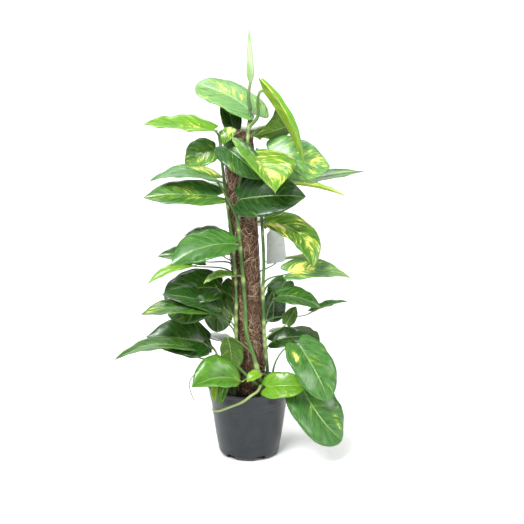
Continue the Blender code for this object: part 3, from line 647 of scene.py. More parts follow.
# %% The leaf table
Leaf = namedtuple(
    "Leaf", "stem node_z base tip width face arch fold sweep twist via heart full",
    defaults=(8, 12, 0, 0, (), 1.0, 0.0),
)
LEAVES = {
    "crown_left": Leaf("front_vine", 572, (8, 2, 592), (-89, 50, 639), 94, (0.2, -0.38, 0.9), 5, 2, -8, -14, full=1),
    "crown_right": Leaf(
        "front_vine", 572, (25, -14, 630), (91, -44, 513), 52, (0.75, -0.22, 0.6), 5, 48, 0, 0,
        via=((16, -13, 588), (16, -14, 612), (19, -14, 627)), heart=1.1,
    ),
    "crown_back_right": Leaf(
        "front_vine", 555, (74, 20, 574), (8, -14, 555), 72, (-0.1, 0.8, 0.5), 4, 20, -4, 0,
        via=((22, 4, 566), (50, 22, 574)), heart=0.4, full=-1,
    ),
    "crown_front": Leaf(
        "front_vine", 505, (7, -46, 531), (44, -120, 475), 132, (0.5, -0.4, 0.77), 8, 22, 0, 20, full=-0.4,
    ),
    "upper_left_pale": Leaf(
        "left_vine", 535, (-57, -14, 567), (-172, -28, 576), 50, (0, -0.5, 0.85), 2, 25, 0, 0, heart=0.5,
    ),
    "upper_back_left": Leaf("left_vine", 556, (-26, 34, 566), (-42, 66, 616), 36, (0.1, -0.8, 0.6), 8, 12, 0, 0),
    "upper_small_left": Leaf(
        "left_vine", 548, (-24, -46, 570), (-40, -56, 545), 24, (-0.3, -0.85, 0.4), 5, 8, 0, 0, heart=0.6,
    ),
    "upper_right": Leaf("right_vine", 505, (36, 8, 527), (137, 0, 505), 80, (0.1, -0.85, 0.5), 6, 6, -6, 0, full=0.4),
    "upper_left_heart": Leaf(
        "left_vine", 520, (-57, 14, 532), (-106, 14, 503), 60, (-0.3, -0.75, 0.55), 8, 12, 0, 0, heart=0.8, full=0.3,
    ),
    "upper_front_dark": Leaf(
        "front_vine", 500, (-38, -40, 541), (24, -58, 490), 54, (-0.25, -0.75, 0.6), 8, 12, 0, 0, full=0.3,
    ),
    "upper_right_narrow": Leaf(
        "right_vine", 455, (67, 28, 471), (199, 38, 493), 50, (0.1, -0.25, 0.95), 2, 15, 0, 0, heart=0.5,
    ),
    "upper_right_lime": Leaf(
        "right_vine", 462, (60, -14, 478), (161, -30, 459), 36, (0.1, -0.05, 0.99), 5, 25, 0, 0, heart=0.4,
    ),
    "middle_front_dark": Leaf(
        "front_vine", 425, (-10, -41, 456), (94, -66, 463), 80, (0.05, -0.85, 0.5), 8, 12, 0, 0, full=0.2,
    ),
    "upper_left_grey": Leaf(
        "front_vine", 405, (-54, -40, 490), (-160, -48, 486), 56, (0, -0.3, 0.95), 12, 10, 0, 0,
        via=((-21, -38, 430), (-41, -42, 470)),
    ),
    "upper_left_long": Leaf(
        "left_vine", 440, (-52, -44, 461), (-169, -58, 460), 60, (0, -0.6, 0.8), 6, 12, 0, 0, full=0.3,
    ),
    "middle_right_arched": Leaf(
        "right_vine", 395, (32, -28, 416), (107, -56, 345), 56, (0.2, -0.6, 0.75), 10, 12, 22, 0, heart=0.4, full=0.4,
    ),
    "middle_left": Leaf(
        "front_vine", 372, (-22, -52, 383), (-124, -78, 352), 72, (-0.1, -0.6, 0.8), 8, 12, -8, 0, heart=0.4, full=0.2,
    ),
    "middle_left_back": Leaf(
        "left_vine", 366, (-44, 8, 385), (-112, 16, 384), 52, (0, -0.15, 1), 8, 12, 0, 0,
        via=((-40, -16, 376),),
    ),
    "middle_left_far": Leaf("left_vine", 330, (-82, 12, 344), (-156, 0, 352), 40, (0, -0.6, 0.8), 8, 12, 0, 0),
    "middle_left_lime": Leaf("left_vine", 312, (-99, -8, 338), (-171, -28, 309), 26, (-0.3, -0.5, 0.8), 8, 20, 0, 0),
    "low_left_broad": Leaf(
        "left_vine", 270, (-56, -6, 298), (-138, -24, 272), 80, (-0.1, -0.6, 0.8), 8, 12, -8, 0, full=0.8,
    ),
    "low_left_upper": Leaf(
        "left_vine", 218, (-54, -26, 268), (-144, -46, 296), 50, (0, -0.5, 0.85), 8, 12, 0, 0, full=0.3,
    ),
    "low_left_pointed": Leaf(
        "left_vine", 205, (-72, -40, 270), (-178, -60, 265), 48, (0, -0.35, 0.9), 10, 8, 0, 0, full=0.3,
    ),
    "low_left_hanging": Leaf(
        "left_vine", 228, (-66, 14, 279), (-140, 4, 246), 72, (-0.2, -0.9, 0.35), 8, 12, 0, 0, full=0.6,
    ),
    "low_left_olive": Leaf(
        "left_vine", 248, (-48, 34, 296), (-57, 30, 209), 56, (0, -1, 0.2), 8, 12, 0, 0,
        via=((-42, -12, 266), (-48, 14, 286)), full=0.8,
    ),
    "low_front_curl": Leaf("front_vine", 318, (-30, -46, 329), (-74, -60, 317), 26, (0, -0.3, 0.95), 6, 25, 0, 0),
    "rim_front_bright": Leaf(
        "front_vine", 160, (-12, -62, 150), (-92, -104, 154), 84, (0.1, -0.6, 0.78), 12, 35, -4, 20, heart=-0.4,
    ),
    "rim_front_folded": Leaf(
        "front_vine", 170, (-34, -40, 218), (-27, -50, 160), 42, (0.2, 0.9, 0.3), 6, 12, 0, 0, heart=0.3, full=0.3,
    ),
    "rim_right_olive": Leaf(
        "right_shoot", 140, (30, -58, 138), (98, -66, 142), 47, (0, -0.8, 0.6), 8, 12, 0, 0, full=0.5,
    ),
    "rim_small": Leaf("right_shoot", 136, (18, -53, 161), (-3, -62, 148), 22, (-0.1, -0.5, 0.85), 4, 10, 0, 0),
    "low_right_heart": Leaf(
        "right_shoot", 150, (85, -50, 209), (134, -82, 122), 74, (0.25, -0.75, 0.55), 10, 8, 0, 0, full=0.6,
    ),
    "low_right_hanging": Leaf(
        "right_shoot", 146, (89, -34, 136), (160, -56, 41), 90, (0.25, -0.75, 0.6), 10, 12, -12, 0, full=0.7,
    ),
    "low_right_back": Leaf("right_vine", 180, (42, 14, 197), (109, 22, 201), 44, (0, -0.6, 0.8), 8, 12, 0, 0),
    "low_right_small": Leaf("right_vine", 200, (66, 0, 234), (82, 2, 264), 24, (0.3, 0.8, 0.3), 4, 10, 0, 0),
    "lower_right_fold": Leaf("right_vine", 212, (52, -24, 288), (124, -32, 268), 46, (0, -0.5, 0.9), 10, 12, 0, 0),
    "lower_right_far": Leaf("right_vine", 225, (112, 24, 250), (173, 20, 268), 22, (0, -0.3, 0.95), 4, 20, 0, 0),
    "lower_right_olive": Leaf("right_vine", 285, (64, 32, 301), (42, 50, 262), 48, (0.3, -0.8, 0.5), 8, 12, 0, 0),
    "lower_right_dark": Leaf(
        "right_vine", 240, (44, 32, 276), (42, 48, 222), 42, (0.1, -0.9, 0.3), 8, 12, 0, 0, full=0.5,
    ),
    "middle_right_patched": Leaf(
        "right_vine", 300, (74, -14, 327), (176, 4, 313), 50, (0, -0.6, 0.8), 8, 20, 4, 0, heart=1.3, full=-0.3,
    ),
    "low_left_tip": Leaf(
        "left_shoot", 168, (-107, -24, 199), (-227, -48, 183), 52, (0, -0.15, 1), 14, 10, 0, 0,
        via=((-64, -16, 174), (-86, -20, 178)),
    ),
    "low_left_dark": Leaf("left_shoot", 176, (-80, 4, 197), (-178, -6, 211), 80, (-0.1, -0.65, 0.75), 8, 12, 0, 0),
    "low_left_inner": Leaf("left_shoot", 172, (-94, 31, 205), (-66, 24, 172), 26, (0.3, -0.8, 0.5), 5, 8, 0, 0),
    "rim_left_pale": Leaf("left_shoot", 120, (-54, -50, 146), (-57, -66, 112), 15, (-0.3, -0.9, 0.3), 4, 20, 0, 0),
    "rim_left_olive": Leaf("left_shoot", 124, (-38, -58, 144), (-48, -74, 109), 16, (-0.2, -0.9, 0.3), 4, 20, 0, 0),
    "back_top": Leaf("back_vine", 530, (-8, 52, 560), (20, 130, 540), 76, (0.1, 0.35, 0.93), 12, 12, 0, 0),
    "back_upper_right": Leaf("back_vine", 470, (28, 60, 500), (96, 128, 480), 74, (0.3, 0.4, 0.85), 12, 12, 0, 0),
    "back_upper_left": Leaf("back_vine", 430, (-48, 56, 462), (-122, 112, 436), 74, (-0.4, 0.4, 0.85), 12, 12, 0, 0),
    "back_middle": Leaf("back_vine", 370, (6, 70, 402), (30, 162, 372), 76, (0.1, 0.5, 0.85), 12, 12, 0, 0),
    "back_middle_left": Leaf("back_vine", 310, (-48, 58, 344), (-116, 124, 322), 72, (-0.4, 0.5, 0.8), 12, 12, 0, 0),
    "back_middle_right": Leaf("back_vine", 290, (50, 64, 330), (128, 116, 306), 72, (0.4, 0.5, 0.8), 12, 12, 0, 0),
    "back_low": Leaf("back_vine", 220, (-4, 66, 256), (-26, 150, 222), 76, (-0.1, 0.5, 0.85), 12, 12, 0, 0),
    "back_low_right": Leaf("back_vine", 170, (54, 72, 198), (132, 112, 164), 72, (0.4, 0.5, 0.8), 12, 12, 0, 0),
    "back_low_left": Leaf("back_vine", 150, (-52, 58, 186), (-124, 110, 158), 72, (-0.4, 0.5, 0.8), 12, 12, 0, 0),
}
print("leaves:", len(LEAVES))

# %% [markdown]
# The plant is variegated: each leaf has its own ground colour and its own share of cream. Tone
# runs from 0, deep green, to 1, lime; it is partly the leaf's own green and partly painted shade,
# as leaves that sit in the shade of others are given a low tone. Cream is the share of pale
# streaks, and a patch adds more of them round one place: along, across, how far it reaches each
# way, and how strong it is. The last number is the share of a pale blue-green laid into the colour:
# partly the leaf's own bluish green, partly painted sheen that stands for the gloss of bright light.

# %% The look of each leaf
Look = namedtuple("Look", "tone cream wave patches cool", defaults=(1.0, (), 0.0))
LOOKS = {
    "crown_left": Look(0.6, 0.3, 1.2, ((0.5, -0.4, 0.3, 0.4, 0.24), (0.15, 0.2, 0.2, 0.5, -0.3)), 0.6),
    "crown_right": Look(0.74, 0.16, 0.8, ((0.25, -0.8, 0.35, 0.3, 0.9), (0.7, -0.6, 0.15, 0.4, 0.4), (0.4, 0.6, 0.6, 0.5, -0.3))),
    "crown_back_right": Look(0.42, 0.1, 1.0, ((0.6, -0.9, 0.5, 0.2, 0.4), (0.8, 0.7, 0.2, 0.4, 0.4))),
    "crown_front": Look(
        0.6, 0.38, 1.2, ((0.35, 0.45, 0.25, 0.35, 0.3), (0.5, -0.2, 0.2, 0.3, 0.2), (0.3, -0.8, 0.4, 0.3, -0.3)),
    ),
    "upper_left_pale": Look(0.66, 0.24, 2.4, ((0.3, 0.2, 0.3, 0.4, 0.2),)),
    "upper_back_left": Look(0.15, 0.1, 1.0),
    "upper_small_left": Look(0.45, 0.3, 0.6, ((0.2, 0.0, 0.3, 0.6, 0.5),)),
    "upper_right": Look(0.5, 0.34, 1.6, ((0.25, -0.5, 0.25, 0.3, 0.15), (0.75, 0.3, 0.2, 0.4, 0.2)), 0.8),
    "upper_left_heart": Look(0.5, 0.26, 1.2, ((0.5, 0.4, 0.3, 0.4, 0.2),), 0.3),
    "upper_front_dark": Look(0.26, 0.1, 1.4, ((0.75, 0.4, 0.2, 0.3, 0.4),), 0.15),
    "upper_right_narrow": Look(0.42, 0.2, 1.0),
    "upper_right_lime": Look(0.9, 0.34, 0.8, ((0.3, 0.2, 0.3, 0.5, 0.35),)),
    "middle_front_dark": Look(0.16, 0.0, 1.4),
    "upper_left_grey": Look(0.42, 0.14, 1.6, ((0.15, -0.6, 0.3, 0.5, 0.5),), 0.6),
    "upper_left_long": Look(0.38, 0.26, 1.2, ((0.45, 0.0, 0.2, 0.5, 0.24), (0.15, -0.4, 0.2, 0.4, -0.2)), 0.2),
    "middle_right_arched": Look(0.45, 0.36, 1.6, ((0.15, -0.4, 0.2, 0.5, 0.35), (0.6, 0.3, 0.3, 0.3, 0.15))),
    "middle_left": Look(0.42, 0.02, 1.8, (), 0.12),
    "middle_left_back": Look(0.2, 0.05),
    "middle_left_far": Look(0.3, 0.12),
    "middle_left_lime": Look(0.75, 0.28, 0.8),
    "low_left_broad": Look(0.22, 0.12, 1.8),
    "low_left_upper": Look(0.2, 0.05),
    "low_left_pointed": Look(0.35, 0.2, 1.2, ((0.9, 0.0, 0.2, 0.8, 0.25),)),
    "low_left_hanging": Look(0.26, 0.2, 1.6, ((0.7, 0.4, 0.25, 0.3, 0.16),)),
    "low_left_olive": Look(0.36, 0.3, 1.2),
    "low_front_curl": Look(0.55, 0.3, 1.0, ((0.9, 0.0, 0.2, 0.8, 0.4),)),
    "rim_front_bright": Look(0.56, 0.1, 1.8, ((0.05, 0.2, 0.12, 0.5, 0.5),)),
    "rim_front_folded": Look(0.35, 0.1),
    "rim_right_olive": Look(0.7, 0.22, 1.2),
    "rim_small": Look(0.8, 0.25, 0.6),
    "low_right_heart": Look(0.42, 0.06, 1.8, ((0.22, -0.5, 0.1, 0.16, 0.8),), 0.2),
    "low_right_hanging": Look(0.4, 0.06, 2.2, ((0.75, 0.5, 0.2, 0.12, 0.5),), 0.2),
    "low_right_back": Look(0.15, 0.05),
    "low_right_small": Look(0.35, 0.05, 0.8),
    "lower_right_fold": Look(0.32, 0.08, 1.2),
    "lower_right_far": Look(0.35, 0.08),
    "lower_right_olive": Look(0.3, 0.1, 1.2),
    "lower_right_dark": Look(0.05, 0.0, 1.2),
    "middle_right_patched": Look(0.42, 0.3, 1.4, ((0.15, 0.1, 0.22, 0.7, 0.45), (0.85, 0.2, 0.2, 0.5, 0.15)), 0.6),
    "low_left_tip": Look(0.38, 0.12, 1.4),
    "low_left_dark": Look(0.24, 0.12, 1.8),
    "low_left_inner": Look(0.2, 0.1, 0.8),
    "rim_left_pale": Look(0.85, 0.3, 0.4),
    "rim_left_olive": Look(0.5, 0.2, 0.4),
    "back_top": Look(0.6, 0.3, 1.6),
    "back_upper_right": Look(0.4, 0.25, 1.6),
    "back_upper_left": Look(0.5, 0.36, 1.6),
    "back_middle": Look(0.35, 0.2, 1.6),
    "back_middle_left": Look(0.28, 0.15, 1.6),
    "back_middle_right": Look(0.42, 0.36, 1.6),
    "back_low": Look(0.3, 0.12, 1.6),
    "back_low_right": Look(0.25, 0.1, 1.6),
    "back_low_left": Look(0.32, 0.2, 1.6),
}

# %% [markdown]
# ## Bending the heart
# The midrib bows out of its chord by the arch and to the side by the sweep, the two halves lift by
# the fold, and the blade turns round its midrib by the twist. On top come what makes a leaf look
# grown: the halves curve over towards their edges, the margin waves, the midrib lies in a groove,
# and the skin swells a little between the side veins.

# %% Bending the heart
WIDEST_AT, LOBE_BACK = 0.26, 0.13
VEIN_SLANT = 0.34
VEINS_PER_SIDE = 9.0
BLADE_THICKNESS = 0.5


def rows_of(vector, count):
    return np.tile(np.array(vector, float), (count, 1))


def unit(vectors):
    return vectors / np.linalg.norm(vectors, axis=1, keepdims=True)


def half_width(leaf, along):
    """Half the blade's width at a place along the midrib, as a share of the widest half."""
    widest_at = WIDEST_AT + 0.16 * (1.0 - leaf.heart)
    start = 0.27 + 0.35 * leaf.heart
    near = start + (1.0 - start) * np.sin(0.5 * np.pi * np.minimum(along / widest_at, 1.0))
    past = np.clip((along - widest_at) / (1.0 - widest_at), 0.0, 1.0)
    rounded = (1.0 - past ** (2.3 + 1.5 * leaf.full)) ** (1.0 - 0.4 * leaf.full)
    return np.where(along < widest_at, near, rounded * (1.0 - 0.35 * (1.0 - leaf.full) * past**6))


def blade_frames(leaf, along):
    """The midrib's points and the blade's directions there: along it, to its side, out of its face."""
    base, tip = Vector(leaf.base), Vector(leaf.tip)
    chord = tip - base
    heading = chord.normalized()
    face = Vector(leaf.face)
    face = (face - heading * face.dot(heading)).normalized()
    bowed = np.array(face * leaf.arch + face.cross(heading) * leaf.sweep)
    t = along[:, None]
    middle = np.array(base) + np.array(chord) * t + bowed * (4.0 * t * (1.0 - t))
    headings = unit(np.array(chord) + bowed * (4.0 - 8.0 * t))
    sides = unit(np.cross(rows_of(face, len(along)), headings))
    return middle, headings, sides, np.cross(headings, sides)


def blade_places(leaf, look, along, across, seed):
    """Where each point of the heart lies on this leaf, in millimetres."""
    middle, headings, sides, faces = blade_frames(leaf, along)
    length = (Vector(leaf.tip) - Vector(leaf.base)).length
    reach = half_width(leaf, along) * 0.5 * leaf.width * across
    turn = np.radians(leaf.twist) * (along - 0.3)
    turn = turn[:, None]
    turned_sides = sides * np.cos(turn) + faces * np.sin(turn)
    turned_faces = faces * np.cos(turn) - sides * np.sin(turn)
    back = LOBE_BACK * leaf.heart * np.sin(0.75 * np.pi * np.abs(across)) * (1.0 - along) ** 3
    lift = np.abs(reach) * math.sin(math.radians(leaf.fold)) * (1.25 - 0.5 * across**2)
    phase = np.where(across > 0.0, 0.37, 0.81) + seed
    waves = np.sin(math.tau * (2.3 * along + phase)) + 0.5 * np.sin(math.tau * (4.9 * along + 2.0 * phase))
    lift += look.wave * 0.8 * np.abs(across) ** 2.5 * waves * np.sin(np.pi * along) ** 0.5
    veins = np.cos(math.tau * VEINS_PER_SIDE * (along - VEIN_SLANT * np.abs(across)))
    lift += 0.32 * veins * np.abs(across) * (1.0 - across**2) * (1.0 - along)
    lift -= 0.45 * np.exp(-((reach / 1.5) ** 2))
    place = middle - headings * (length * back)[:, None]
    return (
        place
        + turned_sides * (reach * math.cos(math.radians(leaf.fold)))[:, None]
        + turned_faces * lift[:, None]
    )


def keep_value(mesh_data, name, values):
    """Stores one number for each point under a name."""
    layer = mesh_data.attributes.get(name) or mesh_data.attributes.new(name, "FLOAT", "POINT")
    layer.data.foreach_set("value", values)


def make_blade(name, leaf, look, seed):
    """A copy of the heart with its own mesh, bent, coloured by its attributes and made a thin wall."""
    blade = heart.copy()
    blade.data = heart.data.copy()
    blade.name = f"{leaf.stem}_{name}"
    scene.collection.objects.link(blade)
    places = blade_places(leaf, look, ALONG, ACROSS, seed)
    blade.data.vertices.foreach_set("co", (places * MM).ravel())
    cream = np.full(len(ALONG), look.cream)
    for along, across, length, width, strength in look.patches:
        far = ((ALONG - along) / length) ** 2 + ((ACROSS - across) / width) ** 2
        cream += strength * np.exp(-far)
    keep_value(blade.data, "cream", cream)
    keep_value(blade.data, "tone", np.full(len(ALONG), look.tone))
    keep_value(blade.data, "cool", np.full(len(ALONG), look.cool))
    keep_value(blade.data, "seed", np.full(len(ALONG), seed))
    bpy.ops.object.select_all(action="DESELECT")
    blade.select_set(True)
    bpy.context.view_layer.objects.active = blade
    wall = blade.modifiers.new("wall", "SOLIDIFY")
    wall.thickness = BLADE_THICKNESS * MM
    wall.offset = 0.0
    wall.material_offset = 1
    wall.material_offset_rim = 1
    paint(blade, leaf_face, leaf_back)
    bpy.ops.object.modifier_apply(modifier="wall")
    bpy.ops.object.shade_smooth()
    return blade


# %% [markdown]
# ## The leaf's finishes
# The upper face is waxy and satin. Its green is never even: it is paler along the midrib and the
# side veins, and cream streaks run out along the side veins in broken patches. The streaks are a
# noise that is read in the leaf's own directions, squeezed along the midrib and drawn out along
# the side veins. The underside is duller and greyer, and its veins stand proud.

# %% Reading a place on the leaf
def leaf_places(graph):
    """The streak direction and the noises that both faces of a leaf share."""
    uv = node(graph, "SeparateXYZ", {0: node(graph, "UVMap", uv_map="blade").outputs[0]})
    along, across = uv.outputs["X"], uv.outputs["Y"]
    seed = node(graph, "Attribute", attribute_name="seed").outputs["Fac"]
    half = calc(graph, "MULTIPLY", calc(graph, "ABSOLUTE", calc(graph, "SUBTRACT", across, 0.5)), 2.0)
    vein_place = calc(graph, "MULTIPLY_ADD", half, -VEIN_SLANT, along)
    shift = calc(graph, "MULTIPLY", seed, 37.0)

    def streaks(along_scale, across_scale, offset, detail):
        x = calc(graph, "MULTIPLY", vein_place, along_scale)
        y = calc(graph, "MULTIPLY", across, across_scale)
        z = calc(graph, "ADD", shift, offset)
        spot = node(graph, "CombineXYZ", {0: x, 1: y, 2: z}).outputs[0]
        return speckle(graph, spot, 1.0, detail, 0.6)

    return along, across, half, vein_place, streaks


def leaf_colour(graph, stops, cream_colour, cream_softness):
    """The ground colour by tone, broken by noise and by a blue-green with painted sheen, under the cream streaks."""
    along, across, half, vein_place, streaks = leaf_places(graph)
    tone = node(graph, "Attribute", attribute_name="tone").outputs["Fac"]
    cream = node(graph, "Attribute", attribute_name="cream").outputs["Fac"]
    fine = streaks(34.0, 5.0, 0.0, 4.0)
    broad = streaks(7.0, 2.6, 5.0, 3.0)
    mottled = streaks(11.0, 7.0, 9.0, 4.0)
    broken = streaks(80.0, 34.0, 13.0, 2.0)
    cool = node(graph, "Attribute", attribute_name="cool").outputs["Fac"]
    # Tone is partly the leaf's own green and partly painted shade: leaves in the shade of others have a low tone.
    level = calc(graph, "MULTIPLY_ADD", calc(graph, "SUBTRACT", mottled, 0.5), 0.45, tone)
    ramp = node(graph, "ValToRGB", {"Fac": level})
    for position, colour in stops[1:-1]:
        ramp.color_ramp.elements.new(position).color = (*colour, 1.0)
    ramp.color_ramp.elements[0].color = (*stops[0][1], 1.0)
    ramp.color_ramp.elements[-1].color = (*stops[-1][1], 1.0)
    mix = calc(graph, "MULTIPLY_ADD", fine, 0.5, calc(graph, "MULTIPLY", broad, 0.4))
    mix = calc(graph, "MULTIPLY_ADD", broken, 0.1, mix)
    amount = calc(graph, "MULTIPLY_ADD", cream, 0.3, mix)
    lighter = between(graph, amount, 0.56, 0.68, 0.0, 0.4)
    # A pale blue-green laid in patches over the ground: partly the leaf's own bluish green, partly painted sheen for
    # the gloss of bright light on the wax.
    bluish_sheen_share = calc(graph, "MULTIPLY", cool, between(graph, mottled, 0.3, 0.65, 0.25, 0.75))
    ground = blend_colour(graph, bluish_sheen_share, ramp.outputs[0], (0.15, 0.38, 0.17))
    base = blend_colour(graph, lighter, ground, stops[-1][1])
    pale = between(graph, amount, 0.66, 0.66 + cream_softness)
    return blend_colour(graph, pale, base, cream_colour), half, vein_place, mottled, fine


def vein_lines(graph, half, vein_place, width):
    """How much a place lies on a side vein, and how much on the midrib."""
    turn = calc(graph, "MULTIPLY", vein_place, VEINS_PER_SIDE)
    off = calc(graph, "ABSOLUTE", calc(graph, "SUBTRACT", calc(graph, "FRACT", turn), 0.5))
    side = between(graph, off, 0.5 - width, 0.5)
    midrib = between(graph, half, 0.0, 0.045, 1.0, 0.0)
    return side, midrib


# %% The upper face
leaf_face, graph, shader = new_finish("leaf_face")
GREENS = (
    (0.0, (0.005, 0.026, 0.003)), (0.25, (0.015, 0.075, 0.006)), (0.5, (0.05, 0.18, 0.011)),
    (0.75, (0.15, 0.36, 0.016)), (1.0, (0.34, 0.54, 0.02)),
)
colour, half, vein_place, mottled, fine = leaf_colour(graph, GREENS, (0.84, 0.82, 0.2), 0.06)
side_vein, midrib = vein_lines(graph, half, vein_place, 0.07)
colour = blend_colour(graph, calc(graph, "MULTIPLY", side_vein, 0.16), colour, (0.4, 0.6, 0.16))
colour = blend_colour(graph, calc(graph, "MULTIPLY", midrib, 0.55), colour, (0.42, 0.6, 0.16))
graph.links.new(colour, shader.inputs["Base Color"])
graph.links.new(calc(graph, "MULTIPLY_ADD", mottled, 0.24, 0.18), shader.inputs["Roughness"])
shader.inputs["Specular IOR Level"].default_value = 0.4
shader.inputs["Coat Weight"].default_value = 0.4
shader.inputs["Coat Roughness"].default_value = 0.2
swell = calc(graph, "MULTIPLY_ADD", side_vein, -0.6, calc(graph, "MULTIPLY", fine, 0.35))
bump(graph, shader, swell, 0.0006, 0.7)

# %% The underside
leaf_back, graph, shader = new_finish("leaf_back")
UNDERS = (
    (0.0, (0.02, 0.05, 0.01)), (0.35, (0.05, 0.12, 0.012)), (0.7, (0.17, 0.31, 0.02)), (1.0, (0.4, 0.54, 0.04)),
)
colour, half, vein_place, mottled, fine = leaf_colour(graph, UNDERS, (0.72, 0.72, 0.22), 0.1)
side_vein, midrib = vein_lines(graph, half, vein_place, 0.1)
colour = blend_colour(graph, calc(graph, "MULTIPLY", side_vein, 0.3), colour, (0.3, 0.42, 0.16))
graph.links.new(colour, shader.inputs["Base Color"])
shader.inputs["Roughness"].default_value = 0.6
shader.inputs["Specular IOR Level"].default_value = 0.25
bump(graph, shader, calc(graph, "MULTIPLY_ADD", fine, 0.3, side_vein), 0.0007, 0.7)

# %% All the blades
blades = {}
for index, (name, leaf) in enumerate(LEAVES.items()):
    blade = make_blade(name, leaf, LOOKS[name], 0.13 + 0.618 * index % 1.0)
    blades[name] = blade
    settle(blade, leaf.stem, leaf.stem)
bpy.data.objects.remove(heart)

# %% [markdown]
# ## Stems and leaf stalks
# A vine is a round green stem with a joint wherever a leaf or a root grows: the joint is a little
# thicker and paler. A leaf stalk leaves its joint with a broad sheathed foot, thins, and thickens
# again just under the blade, and its line goes on below the blade as the raised midrib. Each one
# is a path with a round bevel, made a mesh, and those of one vine are joined.

# %% Routes of the stems
STEM_FROM_POLE = 30.5


def beside_pole(height, angle, away=STEM_FROM_POLE):
    """A point at a height, at an angle round the pole, away from its axis."""
    turn = math.radians(angle)
    return pole_axis(height) + Vector((math.cos(turn), math.sin(turn), 0.0)) * away


# Stems, from the soil upwards: heights, angles round the pole and the odd free point
FRONT_STEM = (
    (24, -44, 84), (24, -45, 108), (23, -44, 131), (11, -39, 179), (3, -33, 203), (-4, -31.5, 231),
    beside_pole(283, -96), beside_pole(349, -100), beside_pole(416, -103), beside_pole(480, -92),
    beside_pole(530, -66), beside_pole(566, -45, 25), (4, -6, 600),
)
RIGHT_STEM = (
    (34, -12, 84), (34, -13, 112), (32, -15, 160), (27, -17, 215), beside_pole(260, -32, 32),
    beside_pole(300, -32, 33), beside_pole(346, -27, 36), beside_pole(421, -27, 36), beside_pole(480, -12),
    beside_pole(535, 8),
)
LEFT_STEM = (
    (-24, -20, 84), (-25, -21, 112), beside_pole(160, -142), beside_pole(228, -134),
    beside_pole(281, -126), beside_pole(350, -124), beside_pole(410, -132), beside_pole(470, -150),
    beside_pole(530, -165), beside_pole(558, -175, 31),
)
BACK_STEM = (
    (2, 42, 84), (2, 41, 112), beside_pole(170, 95, 32), beside_pole(260, 80), beside_pole(350, 100),
    beside_pole(440, 85), beside_pole(520, 100), beside_pole(545, 108),
)
LEFT_SHOOT = (
    (-42, 2, 84), (-42, 1, 112), (-46, -2, 140), (-52, -8, 165), (-56, -12, 182),
)
RIGHT_SHOOT = (
    (40, -34, 84), (40, -34, 112), (37, -33, 136), (42, -33, 152),
)

STEMS = {
    "front_vine": (FRONT_STEM, 3.8, 2.6),
    "right_vine": (RIGHT_STEM, 3.2, 2.4),
    "left_vine": (LEFT_STEM, 3.2, 2.4),
    "back_vine": (BACK_STEM, 3.2, 2.4),
    "left_shoot": (LEFT_SHOOT, 2.8, 2.2),
    "right_shoot": (RIGHT_SHOOT, 2.8, 2.2),
}

# The rolled leaf: its stalk, its tip and its radius along the roll
ROLLED_STALK = ((4, -8, 598), (1, -5, 622), (4, -2, 644))
ROLLED_TIP = (2, -2, 728)
ROLLED_SHAPE = ((-0.04, 1.2), (0.05, 4.5), (0.13, 6.8), (0.3, 6.4), (0.55, 5.0), (0.8, 2.8), (1.0, 0.6))

# Side shoots, runners and roots that grow from a stem: its node, the route and the radii
SIDE_STEMS = {
    "front_side_shoot": ("front_vine", ((23, -44, 131), (10, -50, 144), (-18, -46, 170)), 3.2, 2.4),
    "front_runner": (
        "front_vine",
        (
            (24, -44, 133), (21, -52, 139), (16, -66, 134), (4, -76.5, 129), (-10, -81, 120),
            (-31, -78, 110), (-51, -70, 100), (-61, -61, 99),
        ),
        2.4, 1.9,
    ),
    "aerial_root": (
        "left_shoot",
        (
            (-52, -8, 165), (-72, -30, 168), (-91, -46, 157), (-100, -50, 144), (-99, -50, 129),
            (-93, -50, 112),
        ),
        1.1, 0.7,
    ),
}


def smooth_route(points, step):
    """Points read from a Catmull-Rom curve through the given ones."""
    points = [Vector(point) for point in points]
    ends = [points[0] * 2 - points[1]] + points + [points[-1] * 2 - points[-2]]
    route = []
    for before, start, end, after in zip(ends, ends[1:], ends[2:], ends[3:]):
        count = max(1, round((end - start).length / step))
        for index in range(count):
            t = index / count
            bend = (2 * before - 5 * start + 4 * end - after) * t * t + (3 * start - before - 3 * end + after) * t**3
            route.append(0.5 * (2 * start + (end - before) * t + bend))
    return route + [points[-1]]


def at_height(route, height):
    """The point of a route at a height."""
    for lower, upper in zip(route, route[1:]):
        if lower.z <= height <= upper.z:
            return lower.lerp(upper, (height - lower.z) / (upper.z - lower.z))
    return min(route, key=lambda point: abs(point.z - height))


# %% A stem from a path
def stem_tube(name, route, radii, pale=None, sides=3):
    """A path with a round bevel along a route, made a mesh. Pale is how light each route point is."""
    bpy.ops.object.select_all(action="DESELECT")
    bpy.ops.curve.primitive_bezier_curve_add(radius=0.01)
    path = bpy.context.object
    path.name = name
    path.data.splines.clear()
    spline = path.data.splines.new("POLY")
    spline.points.add(len(route) - 1)
    for point, place, radius in zip(spline.points, route, radii):
        point.co = (*(place * MM), 1.0)
        point.radius = radius
    path.data.dimensions = "3D"
    path.data.bevel_depth = MM
    path.data.bevel_resolution = sides
    path.data.use_fill_caps = True
    path.matrix_world.identity()
    bpy.ops.object.convert(target="MESH")
    tube = bpy.context.object
    shade = np.zeros(len(tube.data.vertices))
    if pale is not None:
        spots = np.zeros(3 * len(shade))
        tube.data.vertices.foreach_get("co", spots)
        middles = np.array([tuple(place) for place in route]) * MM
        gaps = np.linalg.norm(spots.reshape(-1, 1, 3) - middles[None], axis=2)
        shade = np.array(pale)[gaps.argmin(axis=1)]
    keep_value(tube.data, "pale", shade)
    bpy.ops.object.shade_smooth()
    return tube


def along_route(route):
    """The length of a route up to each of its points."""
    lengths = [0.0]
    for before, after in zip(route, route[1:]):
        lengths.append(lengths[-1] + (after - before).length)
    return np.array(lengths)


def joined(name, pieces):
    bpy.ops.object.select_all(action="DESELECT")
    for piece in pieces:
        piece.select_set(True)
    bpy.context.view_layer.objects.active = pieces[0]
    bpy.ops.object.join()
    pieces[0].name = name
    return pieces[0]


